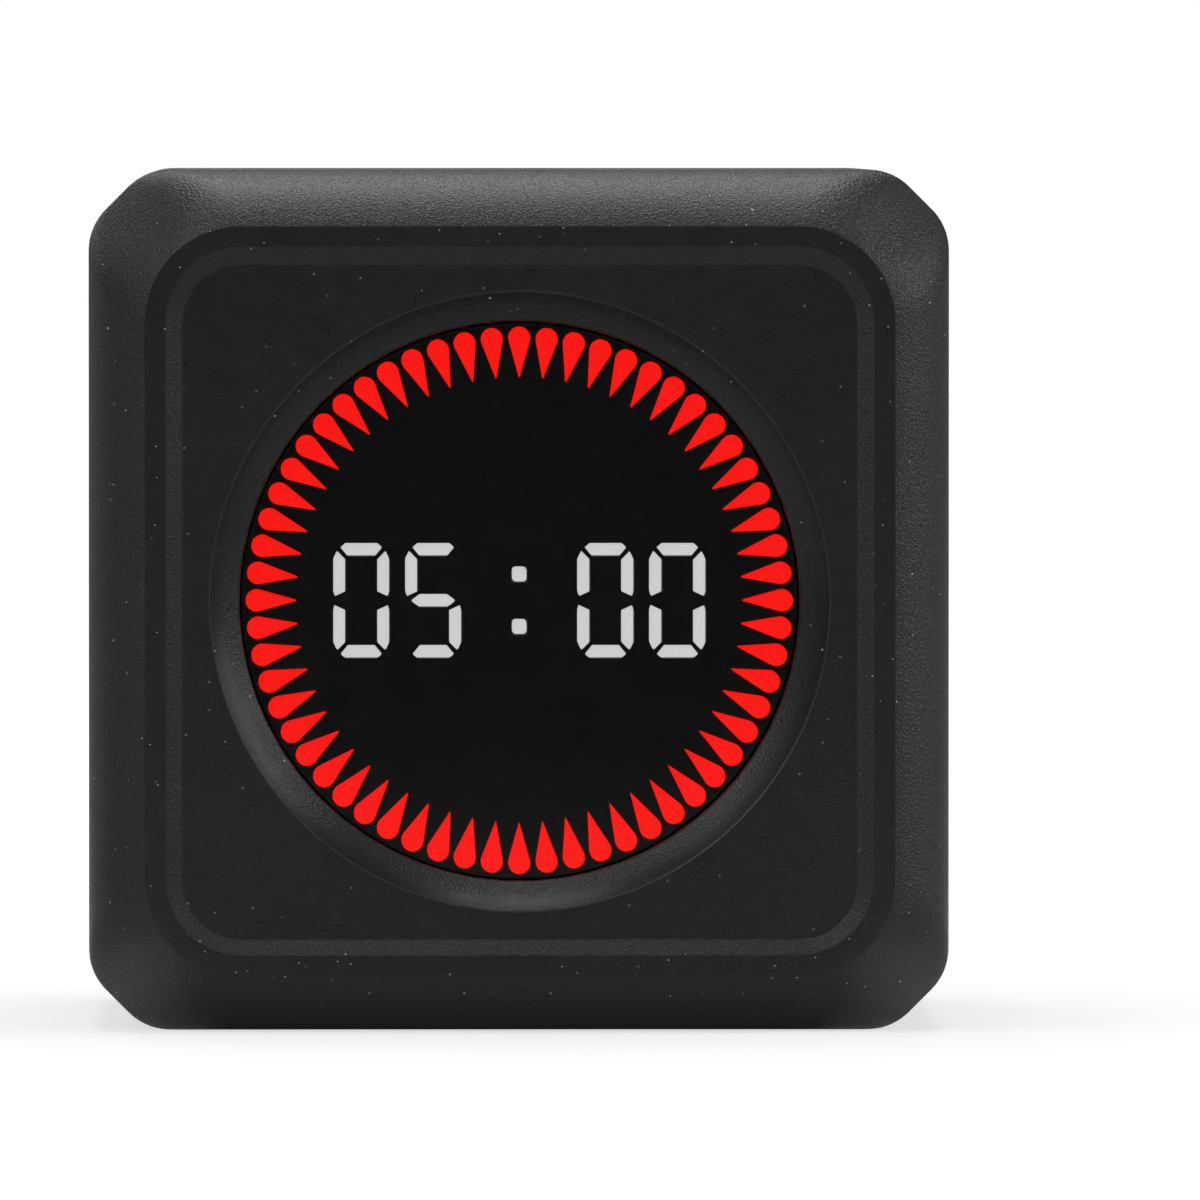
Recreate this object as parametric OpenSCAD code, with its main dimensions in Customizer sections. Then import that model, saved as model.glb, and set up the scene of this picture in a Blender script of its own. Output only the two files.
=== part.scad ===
// Cube timer: a bevelled black cube with a round light display in its front face.
// Sixty red drops count the minutes round four white seven-segment digits. The back holds two
// push buttons, a power slide switch, a sounder grille and a charging socket.
//
// Every piece is drawn in the front view, x to the right, y up and z towards the viewer, with the
// centre of the cube at zero. stand() then sets it upright: front towards -Y, base at Z = 0.

/* [Body] */
// Edge length of the cube
body_size = 65; // [62:0.5:72]
// Chamfer on the four edges that run from front to back
edge_chamfer = 4.3; // [3.5:0.1:5]
// Rounding where that chamfer meets the flat sides
chamfer_round = 4.4; // [2:0.1:5]
// Width of the curved band between the rim and the sides
bevel_width = 4.25; // [3.6:0.05:4.8]
// Slope of that band where it starts at the rim, in degrees
bevel_start = 28; // [20:1:40]
// Straightness of that band at the corners: 0 is as curved as along the sides, 1 a flat facet
corner_flat = 0.75; // [0:0.05:1]
// Corner radius of the rim's outer edge
rim_corner = 7.3; // [6:0.1:9]
// Wall thickness of both shells
wall = 2; // [1.6:0.1:2.6]
// Distance from the back of the cube to the joint between the shells
cover_depth = 12.5; // [11.5:0.5:14]
// Open line left between the shells
joint_line = 0.3; // [0.2:0.05:0.6]
// Height of the tongue that locates the cover in the front shell
tongue_height = 2; // [1.5:0.1:3]
// Clearance round the tongue
tongue_gap = 0.1; // [0.05:0.05:0.3]

/* [Front face] */
// Width of the flat rim
rim_width = 1.65; // [1.2:0.05:2.2]
// Width of the sloping step inside the rim
step_width = 1.15; // [0.7:0.05:1.5]
// Depth of the step, on the front and on the back
step_depth = 0.55; // [0.4:0.05:0.9]
// Diameter of the dish at the front panel
dish_d = 46.9; // [45.5:0.1:48]
// Depth of the dish
dish_depth = 2; // [1.4:0.1:2.6]
// Slope of the dish at its outer edge, in degrees
dish_edge_slope = 50; // [44:1:70]

/* [Display] */
// Diameter of the lens
lens_d = 41.9; // [41:0.1:43]
// Thickness of the lens
lens_t = 1.2; // [0.8:0.1:2]
// Gap round the lens and the light block
lens_gap = 0.15; // [0.08:0.01:0.3]
// Width of the collar round the lens that carries the display board
collar_width = 4.5; // [4:0.1:5]
// Thickness of the block that holds the light wells
block_t = 4; // [3:0.1:6]
// Depth left for the lamp under the cast resin in each well
lamp_room = 1.4; // [0.8:0.1:2]
// Gap round each cast resin piece
resin_gap = 0.02; // [0.01:0.01:0.05]
// Number of drops round the dial
drop_count = 60; // [30:6:60]
// Diameter of a drop's round head
drop_head = 1.82; // [1.4:0.02:1.9]
// Length of a drop
drop_length = 4.3; // [3:0.1:5]
// Distance from the lens edge to the drops
drop_inset = 0.22; // [0.15:0.01:0.6]
// Height of a digit
digit_h = 8.75; // [7:0.05:10]
// Width of a digit
digit_w = 4.37; // [3.8:0.01:4.8]
// Stroke of a digit
digit_stroke = 1.05; // [0.8:0.01:1.2]
// Centre distance of two digits in a pair
digit_pitch = 5.43; // [5.2:0.01:6]
// Centre distance of the minute pair and the second pair
pair_pitch = 18.42; // [16:0.02:19]
// Side of a colon dot
colon_side = 1.25; // [0.8:0.05:1.6]
// Centre distance of the colon dots
colon_pitch = 3.96; // [3:0.02:5]
// Thickness of the foam seal behind the display collar
seal_t = 0.5; // [0.3:0.1:0.8]

/* [Side numbers] */
// Height of the numbers on the sides
number_h = 16; // [12:0.5:20]
// Depth of the pocket for each number
number_pocket = 0.35; // [0.2:0.05:0.6]
// Distance that the number inlay lies below the side
number_sink = 0.05; // [0.02:0.01:0.1]

/* [Back controls] */
// Depth of the recessed back panel
back_recess = 1.4; // [1.2:0.1:2]
// Diameter of a push button
button_d = 8; // [7:0.1:9]
// Clearance round a button or the power knob
button_gap = 0.15; // [0.1:0.05:0.3]
// Height of a button over the back panel
button_proud = 0.9; // [0.5:0.05:1.1]
// Travel of a button
button_travel = 0.4; // [0.2:0.05:0.6]
// Distance of each button from the middle
button_x = 12.5; // [12:0.1:13]
// Height of the buttons over the middle
button_y = -1; // [-2:0.1:0]
// Height of the power switch over the middle
power_y = -2; // [-3:0.1:-1]
// Length of the power knob along its travel
knob_length = 4; // [3:0.1:4.4]
// Height of the power knob across its travel
knob_width = 2.6; // [2:0.1:3]
// Travel of the power knob
knob_travel = 2; // [1.5:0.1:2.4]
// Height of the charging socket over the middle
socket_y = -13; // [-14:0.1:-12]
// Height of the sounder over the middle
sounder_y = 11.2; // [10.5:0.1:11.5]
// Diameter of the sounder
sounder_d = 12; // [10:0.1:12.5]
// Diameter of a grille hole
grille_hole = 1.2; // [0.8:0.1:1.4]
// Centre distance of the grille holes
grille_pitch = 2; // [1.7:0.1:2.1]

/* [Boards and cell] */
// Thickness of both circuit boards
board_t = 1.6; // [1:0.1:2]
// Height of the main board over the back wall
board_height = 7.2; // [6.6:0.1:8]
// Length of the cell
cell_length = 26; // [22:0.5:27]
// Width of the cell
cell_width = 23; // [18:0.5:24]
// Thickness of the cell
cell_t = 6; // [4:0.5:9]
// Thickness of the foam pad under the cell
cell_pad = 0.8; // [0.5:0.1:1.5]
// Width of the ribbon cable
ribbon_width = 10; // [6:0.5:12]

/* [Fasteners] */
// Distance of the case screws from the edge of the back panel
case_screw_inset = 4.15; // [3.9:0.05:4.6]
// Thread diameter of the case screws
case_screw_d = 2.3; // [2:0.1:2.6]
// Head diameter of the case screws
case_head_d = 4; // [3.6:0.1:4.4]
// Depth from the back panel to the seat of the case screws
case_seat = 2.6; // [2.2:0.1:4]
// Thread length of the case screws in the front shell
case_grip = 7; // [5:0.5:12]
// Thread diameter of the board screws
board_screw_d = 1.7; // [1.4:0.1:2]
// Head diameter of the board screws
board_head_d = 3; // [2.6:0.1:3.2]
// Thread length of the board screws
board_grip = 3; // [2:0.5:4]

/* [Hidden] */
$fn = 64;

// Faces that meet inside one union overlap by this much, and cuts run past a face by it
bite = 0.5;
// Clearance between pieces that are set against each other
touch = 0.05;
// Clearance of a screw in its hole
screw_clear = 0.05;
// Clearance of a screw head in its counterbore, and of a board between its neighbours
loose = 0.2;

half = body_size / 2;
rim_half = half - bevel_width;
step_half = rim_half - rim_width;
step_corner = rim_corner - rim_width;
panel_half = step_half - step_width;
panel_corner = step_corner - step_width;
bevel_depth = bevel_width * cos(bevel_start) / (1 - sin(bevel_start));
bevel_rings = 6;
turn_steps = 5;
corner_steps = 12;

// Depths through the front, from the rim backwards
z_panel = half - step_depth;
z_lens = z_panel - dish_depth;
z_block = z_lens - lens_t;
z_display_board = z_block - block_t;
z_collar = z_display_board + seal_t;
hole_r = lens_d / 2 + lens_gap;
dish_r = max(dish_d / 2, hole_r + touch);
collar_r = hole_r + collar_width;
display_board_r = collar_r - loose;
display_screw_r = (hole_r + collar_r) / 2;

// Depths through the back, from the back forwards
z_back_panel = -half + back_recess;
z_back_inner = z_back_panel + wall;
z_board_rear = z_back_inner + board_height;
z_board_front = z_board_rear + board_t;
z_joint = -half + cover_depth;

// The dial
resin_t = block_t - lamp_room;
drop_head_r = drop_head / 2;
drop_centre_r = lens_d / 2 - drop_inset - drop_head_r;
drop_taper = asin(drop_head_r / (drop_length - drop_head_r));
digit_x = [-pair_pitch - digit_pitch, -pair_pitch + digit_pitch, pair_pitch - digit_pitch,
    pair_pitch + digit_pitch] / 2;
digit_gap = 0.14;
shown = [0, 5, 0, 0];

// Which of the seven strokes each figure lights: top, then clockwise, and the middle one last
FIGURES = [
    [1, 1, 1, 1, 1, 1, 0], [0, 1, 1, 0, 0, 0, 0], [1, 1, 0, 1, 1, 0, 1], [1, 1, 1, 1, 0, 0, 1],
    [0, 1, 1, 0, 0, 1, 1], [1, 0, 1, 1, 0, 1, 1], [1, 0, 1, 1, 1, 1, 1], [1, 1, 1, 0, 0, 0, 0],
    [1, 1, 1, 1, 1, 1, 1], [1, 1, 1, 1, 0, 1, 1]
];
// The figures on the top, left, bottom and right sides
side_figures = [[5], [6, 0], [3, 0], [1, 5]];
number_w = number_h * 0.52;
number_stroke = number_h * 0.13;
number_gap = 0.28;
number_pitch = number_w + number_stroke * 1.6;

// The case screws and the boards
case_screw_at = panel_half - case_screw_inset;
column_wall = 1.6;
column_r = case_screw_d / 2 + screw_clear + column_wall;
rib_t = 1.2;
tube_wall = 1;
tube_r = case_head_d / 2 + loose + tube_wall;
case_head_h = 1.6;
// Free depth under the tip of a case screw
case_screw_end = 1;
z_case_seat = z_back_panel + case_seat;
board_head_h = 1.1;
board_half = case_screw_at - tube_r - 2 * loose;
post_wall = 1.3;
post_r = board_screw_d / 2 + screw_clear + post_wall;
post_at = board_half - post_r - loose;

// The push buttons and their switches
switch_side = 6;
switch_h = 3.5;
plunger_r = 1.7;
plunger_proud = 1.5;
plunger_depth = 1;
z_switch = z_board_rear - switch_h;
z_plunger = z_switch - plunger_proud;
cap_flange = 1.2;
cap_flange_t = 1;
cap_chamfer = 0.4;
z_cap = z_back_panel - button_proud;

// The power switch, drawn at its on position, half its travel from the middle
power_case = [8.6, 4.2, 3.6];
slider_foot = [3.2, 2.6, 0.8];
slider_stem = [2, 1.4];
power_roof = 0.6;
stem_reach = 1;
z_power = z_board_rear - power_case[2];
knob_flange_t = 0.8;
slot_length = knob_length + knob_travel + 2 * button_gap;
slot_width = knob_width + 2 * button_gap;
knob_cover = [1, 1.8];
knob_flange = [slot_length + knob_travel, slot_width] + knob_cover;
knob_at = knob_travel / 2;
grip_ridges = 3;

// The charging socket, which is a standard size
socket_long = 8.94;
socket_short = 3.26;
socket_skin = 0.3;
socket_sunk = 0.4;
socket_clear = 0.15;
socket_base = 2.2;
tongue_long = 6.7;
tongue_short = 0.7;
tongue_sunk = 0.7;
z_socket = z_back_panel + socket_sunk;

// The sounder and the chips
sounder_h = 6.4;
sounder_vent = [1, 1];
sounder_ring = 1.2;
sounder_seal_t = z_board_rear - sounder_h - z_back_inner;
chip_h = 1.2;
chip_side = 7;
chip_space = 1;
tilt_side = 3;
charger = [5, 4];

// The cell, its plug and its two wires
plug_room = 7.4;
cell_top = board_half - plug_room;
pad_margin = 2;
z_cell = z_board_front + cell_pad;
fold = 2;
fold_t = 1.6;
wire_r = 0.5;
wire_apart = 2;
wire_bend = 2.6;
wire_sunk = 0.3;
wire_clear = 0.15;
z_wire = z_cell + cell_t - fold_t / 2;
plug = [6.4, 3.6, z_wire - wire_bend + wire_sunk - z_board_front];
plug_y = cell_top + wire_bend;

// The ribbon cable
ribbon_t = 0.3;
ribbon_ends = 1;
ribbon_space = 1;
ribbon_socket = [3.4, ribbon_width + 2 * ribbon_ends, 3];
ribbon_socket_slot = 1.2;
ribbon_x = cell_width / 2 + ribbon_socket[0] / 2 + ribbon_space;
ribbon_bow = 3.4;
ribbon_steps = 20;
z_display_back = z_display_board - board_t;
z_ribbon = [z_board_front + ribbon_socket[2], z_display_back - ribbon_socket[2]];

// Sets a piece drawn in the front view upright on its base
module stand() {
    translate([0, 0, half]) rotate([90, 0, 0]) children();
}

function corners(d) = [[-d, -d], [d, -d], [d, d], [-d, d]];

// Square with its corners cut off, a given distance inside the outer sides
function cut_square(inset) =
    let (side = half - inset, cut = edge_chamfer - inset * (2 - sqrt(2)), flat = side - cut)
    [[side, -flat], [side, flat], [flat, side], [-flat, side],
        [-side, flat], [-side, -flat], [-flat, -side], [flat, -side]];

// Square with round corners
function round_square(side, corner) =
    [for (q = [0 : 3]) for (i = [0 : corner_steps])
        let (a = 90 * (q + i / corner_steps), m = 90 * q + 45, c = (side - corner) * sqrt(2))
        [c * cos(m) + corner * cos(a), c * sin(m) + corner * sin(a)]];

// Distance from the middle to a circle's far side, along angle a
function reach(a, centre, r) =
    let (along = centre[0] * cos(a) + centre[1] * sin(a))
    along + sqrt(along * along - centre * centre + r * r);

// Distance from the middle to a square with cut and rounded corners, for an angle from 0 to 45
function cut_reach(a, side, cut, bend) =
    let (start = side - cut - bend * tan(22.5), centre = [side - bend, start],
        end = centre + bend * [cos(45), sin(45)])
    a <= atan2(start, side) ? side / cos(a)
    : a < atan2(end[1], end[0]) ? reach(a, centre, bend)
    : (2 * side - cut) / (cos(a) + sin(a));

// Outline i of the bevel, from 0 at the rim to bevel_rings at the sides: how far out and how far down it
// lies, and its side, corner cut and corner rounding. The corners follow the depth more than the sides do.
function bevel_slope(i) = bevel_start + (90 - bevel_start) * i / bevel_rings;
function bevel_share(i) = (sin(bevel_slope(i)) - sin(bevel_start)) / (1 - sin(bevel_start));
function bevel_sunk(i) = 1 - cos(bevel_slope(i)) / cos(bevel_start);
function ring_side(i) = rim_half + bevel_width * bevel_share(i);
function ring_bend(i) = rim_corner + (chamfer_round - rim_corner) * bevel_share(i);
function ring_cut(i) =
    let (inner = 2 * rim_half - rim_corner * (2 - sqrt(2)), outer = 2 * half - edge_chamfer,
        along = bevel_share(i) + (bevel_sunk(i) - bevel_share(i)) * corner_flat)
    2 * ring_side(i) - inner - (outer - inner) * along;

// Angles at which outline i is drawn: from where it starts to turn, round to the middle of its corner
function ring_angles(i) =
    let (b = ring_bend(i), start = ring_side(i) - ring_cut(i) - b * tan(22.5),
        from = atan2(start, ring_side(i)),
        to = atan2(start + b * sin(45), ring_side(i) - b + b * cos(45)))
    concat([for (k = [0 : turn_steps - 1]) from + (to - from) * k / (turn_steps - 0.5)], [45]);

function body_ring(i, z) =
    let (half_side = ring_angles(i), n = len(half_side) - 1,
        side = concat([for (k = [n : -1 : 0]) -half_side[k]], [for (k = [0 : n - 1]) half_side[k]]))
    [for (q = [0 : 3]) for (a = side)
        let (r = cut_reach(abs(a), ring_side(i), ring_cut(i), ring_bend(i)))
        [r * cos(90 * q + a), r * sin(90 * q + a), z]];

// The outlines of the bevel, from the rim to the sides, at heights from z in direction way
function bevel_outlines(z, way) =
    [for (i = [0 : bevel_rings]) body_ring(i, z + way * bevel_depth * bevel_sunk(i))];

function reversed(list) = [for (i = [len(list) - 1 : -1 : 0]) list[i]];

// Closed solid through a stack of outlines of equal length, given from the lowest to the highest
module loft(rings) {
    n = len(rings[0]);
    last = (len(rings) - 1) * n;
    polyhedron(
        points = [for (ring = rings) for (p = ring) p],
        faces = concat(
            [[for (j = [0 : n - 1]) j]],
            [for (i = [0 : len(rings) - 2]) for (j = [0 : n - 1])
                [i * n + j, (i + 1) * n + j, (i + 1) * n + (j + 1) % n]],
            [for (i = [0 : len(rings) - 2]) for (j = [0 : n - 1])
                [i * n + j, (i + 1) * n + (j + 1) % n, i * n + (j + 1) % n]],
            [[for (j = [n - 1 : -1 : 0]) last + j]]));
}

// The step inside the rim as a solid to cut away, from its floor up to past the rim
module step_cut(depth) {
    over = step_width / depth * bite;
    floor_ring = [for (p = round_square(panel_half, panel_corner)) [p[0], p[1], 0]];
    top_ring = [for (p = round_square(step_half + over, step_corner + over)) [p[0], p[1], depth + bite]];
    loft([floor_ring, top_ring]);
}

// The dish round the lens: an arc that flattens towards the lens
module dish_cut() {
    wide = dish_r - hole_r;
    flat_slope = 2 * atan(dish_depth / wide) - dish_edge_slope;
    arc_r = wide / (sin(dish_edge_slope) - sin(flat_slope));
    steps = 10;
    arc = [for (i = [0 : steps])
        let (s = flat_slope + (dish_edge_slope - flat_slope) * i / steps)
        [hole_r + arc_r * (sin(s) - sin(flat_slope)), z_lens + arc_r * (cos(flat_slope) - cos(s))]];
    rotate_extrude() polygon(concat([[0, z_lens]], arc, [[dish_r, z_panel + bite], [0, z_panel + bite]]));
}

// Seven-segment strokes of a figure, each a six-cornered outline
function stroke_points(k, w, h, s, gap) =
    let (x = w / 2, y = h / 2, long = s * 0.97, near = s * 0.58, off = s * 0.33, in = s + gap,
        lift = s * 0.5)
    k == 0 ? [[x - long, y], [long - x, y], [near - x, y - off], [in - x, y - s], [x - in, y - s],
        [x - near, y - off]]
    : k == 1 ? [[x, y - in - gap], [x - off, y - near], [x - s, y - in - gap], [x - s, lift + gap * 1.5],
        [x - s * 0.12, gap * 2.2], [x, lift + gap * 2]]
    : k == 6 ? [[x - s * 0.45, 0], [x - in, lift], [in - x, lift], [s * 0.45 - x, 0], [in - x, -lift],
        [x - in, -lift]]
    : k == 3 ? [for (p = stroke_points(0, w, h, s, gap)) -p]
    : k == 4 ? [for (p = stroke_points(1, w, h, s, gap)) -p]
    : k == 2 ? reversed([for (p = stroke_points(1, w, h, s, gap)) [p[0], -p[1]]])
    : reversed([for (p = stroke_points(1, w, h, s, gap)) [-p[0], p[1]]]);

function lit(figure) = [for (k = [0 : 6]) if (FIGURES[figure][k] == 1) k];
function unlit(figure) = [for (k = [0 : 6]) if (FIGURES[figure][k] == 0) k];

module strokes(list, w, h, s, gap, shrink = 0) {
    for (k = list) offset_outline(stroke_points(k, w, h, s, gap), shrink);
}

// Outline drawn a little smaller about its own middle
module offset_outline(points, shrink) {
    n = len(points);
    middle = [for (p = points) 1] * points / n;
    span = max([for (p = points) norm(p - middle)]);
    polygon([for (p = points) middle + (p - middle) * (1 - shrink / span)]);
}

// One drop, pointing at the middle of the dial, with its head along +x
module drop(shrink = 0) {
    r = drop_head_r - shrink;
    steps = 14;
    turn = 90 + drop_taper;
    polygon(concat(
        [for (i = [0 : steps])
            let (a = -turn + 2 * turn * i / steps)
            [drop_centre_r + r * cos(a), r * sin(a)]],
        [[drop_centre_r - r / sin(drop_taper), 0]]));
}

module drops(shrink = 0) {
    for (i = [0 : drop_count - 1]) rotate(90 + 360 * i / drop_count) drop(shrink);
}

module colon(shrink = 0) {
    for (y = [-1, 1]) translate([0, y * colon_pitch / 2]) square(colon_side - 2 * shrink, center = true);
}

// The numbers on the four sides, sunk into the side by sink and reaching to depth
module side_number_solids(sink, depth, shrink) {
    for (q = [0 : 3]) {
        n = len(side_figures[q]);
        rotate([0, 0, 90 * q]) translate([0, half - depth, 0]) rotate([-90, 0, 0])
            for (i = [0 : n - 1]) translate([(i - (n - 1) / 2) * number_pitch, 0, 0])
                linear_extrude(depth - sink)
                    strokes(lit(side_figures[q][i]), number_w, number_h, number_stroke,
                        number_gap, shrink);
    }
}

// Pan-head screw that points along +z, with its head's underside at zero
module screw(head_d, head_h, d, length) {
    recess = [head_d * 0.6, head_d * 0.14, head_h * 0.6];
    difference() {
        union() {
            translate([0, 0, -head_h]) cylinder(d = head_d, h = head_h);
            translate([0, 0, -touch]) cylinder(d = d, h = length + touch);
        }
        for (a = [0, 90]) rotate(a)
            translate([-recess[0] / 2, -recess[1] / 2, -head_h - bite])
                cube([recess[0], recess[1], recess[2] + bite]);
    }
}

module stadium(long, short) {
    square([long - short, short], center = true);
    for (x = [-1, 1]) translate([x * (long - short) / 2, 0]) circle(d = short);
}

// The case

// The space inside a shell, from its open end to its end wall, drawn in where the bevel draws in
module hollow(z_end, z_open, z_bevel) {
    translate([0, 0, z_open]) linear_extrude(z_bevel - z_open) polygon(cut_square(wall));
    translate([0, 0, z_bevel - bite]) linear_extrude(z_end - z_bevel + bite)
        polygon(round_square(rim_half, rim_corner));
}

module front_shell() {
    rib_reach = (2 * half - edge_chamfer) / sqrt(2) - wall / 2;
    rib_start = z_joint + tongue_height + rib_t;
    rib_height = half - bevel_depth - rib_start;
    z_wall = z_panel - wall;
    color("#242425") stand() difference() {
        union() {
            difference() {
                loft(concat([body_ring(bevel_rings, z_joint)], reversed(bevel_outlines(half, -1))));
                hollow(z_wall, z_joint - bite, half - bevel_depth);
                translate([0, 0, z_joint - bite]) linear_extrude(tongue_height + bite)
                    polygon(cut_square(wall / 2));
            }
            translate([0, 0, z_collar]) cylinder(r = collar_r, h = z_wall + bite - z_collar);
            for (p = corners(case_screw_at)) translate([p[0], p[1], z_joint])
                cylinder(r = column_r, h = z_wall + bite - z_joint);
            for (q = [0 : 3]) rotate(45 + 90 * q)
                translate([case_screw_at * sqrt(2), -rib_t / 2, rib_start])
                    cube([rib_reach - case_screw_at * sqrt(2), rib_t, rib_height]);
        }
        translate([0, 0, z_panel]) step_cut(step_depth);
        dish_cut();
        translate([0, 0, z_collar - bite]) cylinder(r = hole_r, h = half - z_collar);
        for (p = corners(case_screw_at)) translate([p[0], p[1], z_joint - bite])
            cylinder(d = case_screw_d + 2 * screw_clear, h = case_grip + case_screw_end + bite);
        at_display_screws(z_collar - bite)
            cylinder(d = board_screw_d + 2 * screw_clear, h = board_grip + bite);
        side_number_solids(-bite, number_pocket, 0);
    }
}

module rear_cover() {
    color("#242425") stand() difference() {
        union() {
            difference() {
                loft(concat(bevel_outlines(-half, 1), [body_ring(bevel_rings, z_joint - joint_line)]));
                mirror([0, 0, 1]) hollow(-z_back_inner, -z_joint, half - bevel_depth);
            }
            translate([0, 0, z_joint - joint_line - bite])
                linear_extrude(tongue_height + joint_line + bite - loose) difference() {
                    polygon(cut_square(wall / 2 + tongue_gap));
                    polygon(cut_square(wall));
                }
            for (p = corners(case_screw_at)) translate([p[0], p[1], z_back_inner - bite])
                cylinder(r = tube_r, h = z_joint - z_back_inner + bite);
            for (p = corners(post_at)) translate([p[0], p[1], z_back_inner - bite])
                cylinder(r = post_r, h = board_height + bite);
        }
        translate([0, 0, z_back_panel]) mirror([0, 0, 1]) step_cut(back_recess);
        for (p = corners(case_screw_at)) translate([p[0], p[1], -half]) {
            cylinder(d = case_head_d + 2 * loose, h = z_case_seat + half);
            cylinder(d = case_screw_d + 2 * loose, h = z_joint + half + bite);
        }
        for (p = corners(post_at)) translate([p[0], p[1], z_board_rear - board_grip])
            cylinder(d = board_screw_d + 2 * screw_clear, h = board_grip + bite);
        for (x = [-button_x, button_x]) translate([x, button_y, -half])
            cylinder(d = button_d + 2 * button_gap, h = z_back_inner + half + bite);
        translate([-slot_length / 2, power_y - slot_width / 2, -half])
            cube([slot_length, slot_width, z_back_inner + half + bite]);
        translate([0, socket_y, -half]) linear_extrude(z_back_inner + half + bite)
            stadium(socket_long + 2 * socket_clear, socket_short + 2 * socket_clear);
        translate([0, sounder_y, -half]) grille_cut();
    }
}

// Two rings of holes round one in the middle
module grille_cut() {
    for (ring = [0 : 2]) for (i = [0 : max(6 * ring, 1) - 1])
        rotate(360 * i / max(6 * ring, 1)) translate([ring * grille_pitch, 0, 0])
            cylinder(d = grille_hole, h = z_back_inner + half + bite, $fn = 24);
}

module case_screws() {
    color("#3a3a3c") stand() for (p = corners(case_screw_at)) translate([p[0], p[1], z_case_seat])
        screw(case_head_d, case_head_h, case_screw_d, z_joint - z_case_seat + case_grip);
}

module side_numbers() {
    color("#d8d8d6") stand() side_number_solids(number_sink, number_pocket - touch, touch);
}

// The display

module display_lens() {
    edge = 0.2;
    color("#101012", 0.5) stand() translate([0, 0, z_block + touch]) {
        cylinder(d = lens_d, h = lens_t - touch - edge);
        translate([0, 0, lens_t - touch - edge]) cylinder(d1 = lens_d, d2 = lens_d - 2 * edge, h = edge);
    }
}

module light_block() {
    color("#0c0c0d") stand() translate([0, 0, z_display_board]) linear_extrude(block_t) difference() {
        circle(d = lens_d);
        drops();
        for (x = digit_x) translate([x, 0]) strokes([0 : 6], digit_w, digit_h, digit_stroke, digit_gap);
        colon();
    }
}

// Resin cast into the wells, level with the front of the block
module resin() {
    stand() translate([0, 0, z_block - resin_t]) linear_extrude(resin_t) children();
}

module minute_drops() {
    color("#f81c19") resin() drops(resin_gap);
}

module lit_segments() {
    color("#d4d4d2") resin() for (i = [0 : 3]) translate([digit_x[i], 0])
        strokes(lit(shown[i]), digit_w, digit_h, digit_stroke, digit_gap, resin_gap);
}

module unlit_segments() {
    color("#1a1a1b") resin() for (i = [0 : 3]) translate([digit_x[i], 0])
        strokes(unlit(shown[i]), digit_w, digit_h, digit_stroke, digit_gap, resin_gap);
}

module colon_dots() {
    color("#d4d4d2") resin() colon(resin_gap);
}

// Repeats a piece at the four screws round the display board
module at_display_screws(z) {
    for (q = [0 : 3]) rotate(90 * q) translate([display_screw_r, 0, z]) children();
}

// Room for the case columns in a round plate of a given thickness
module column_room(t) {
    for (p = corners(case_screw_at)) translate([p[0], p[1], -bite])
        cylinder(r = column_r + loose, h = t + 2 * bite);
}

module light_seal() {
    color("#2e2e30") stand() translate([0, 0, z_display_board]) difference() {
        cylinder(r = display_board_r, h = seal_t);
        translate([0, 0, -bite]) cylinder(r = hole_r, h = seal_t + 2 * bite);
        at_display_screws(-bite) cylinder(d = board_screw_d + 2 * loose, h = seal_t + 2 * bite);
        column_room(seal_t);
    }
}

module display_board() {
    color("#1f5b38") stand() translate([0, 0, z_display_back]) difference() {
        cylinder(r = display_board_r, h = board_t);
        at_display_screws(-bite) cylinder(d = board_screw_d + 2 * loose, h = board_t + 2 * bite);
        column_room(board_t);
    }
}

module drop_leds() {
    led = [1.6, 0.8, 0.6];
    color("#e8e0c8") stand() for (i = [0 : drop_count - 1]) rotate(90 + 360 * i / drop_count)
        translate([drop_centre_r - led[0] / 2, -led[1] / 2, z_display_board]) cube(led);
}

module digit_leds() {
    led = [0.5, 0.5, 0.5];
    color("#e8e0c8") stand() translate([0, 0, z_display_board + led[2] / 2]) {
        for (x = digit_x) for (k = [0 : 6]) {
            points = stroke_points(k, digit_w, digit_h, digit_stroke, digit_gap);
            middle = [for (p = points) 1] * points / len(points);
            translate([x + middle[0], middle[1], 0]) cube(led, center = true);
        }
        for (y = [-1, 1]) translate([0, y * colon_pitch / 2, 0]) cube(led, center = true);
    }
}

module display_screws() {
    color("#9a9a9c") stand() at_display_screws(z_display_back)
        screw(board_head_d, board_head_h, board_screw_d, board_t + seal_t + board_grip - loose);
}

// The main board

module main_board() {
    color("#1f5b38") stand() difference() {
        translate([-board_half, -board_half, z_board_rear]) cube([2 * board_half, 2 * board_half, board_t]);
        for (p = corners(post_at)) translate([p[0], p[1], z_board_rear - bite])
            cylinder(d = board_screw_d + 2 * loose, h = board_t + 2 * bite);
    }
}

module board_screws() {
    color("#9a9a9c") stand() for (p = corners(post_at)) translate([p[0], p[1], z_board_front])
        mirror([0, 0, 1]) screw(board_head_d, board_head_h, board_screw_d, board_t + board_grip - loose);
}

// Chip on the rear of the main board, with its legs as one thin plate
module chip(x, y, size) {
    leg = 0.6;
    foot = 0.2;
    color("#161617") stand() translate([x, y, z_board_rear]) {
        translate([-size[0] / 2, -size[1] / 2, -chip_h]) cube([size[0], size[1], chip_h - foot / 2]);
        translate([-size[0] / 2 - leg, -size[1] / 2 + leg, -foot])
            cube([size[0] + 2 * leg, size[1] - 2 * leg, foot]);
    }
}

// The chips stand clear of the sounder and of the push-button switches
chip_x = sounder_d / 2 + chip_space + chip_side / 2;
chip_y = button_y + switch_side / 2 + chip_space + chip_side / 2;
charger_y = button_y - switch_side / 2 - chip_space - charger[1] / 2;

module microcontroller() {
    chip(-chip_x, chip_y, [chip_side, chip_side]);
}

module tilt_sensor() {
    chip(chip_x, chip_y, [tilt_side, tilt_side]);
}

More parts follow.
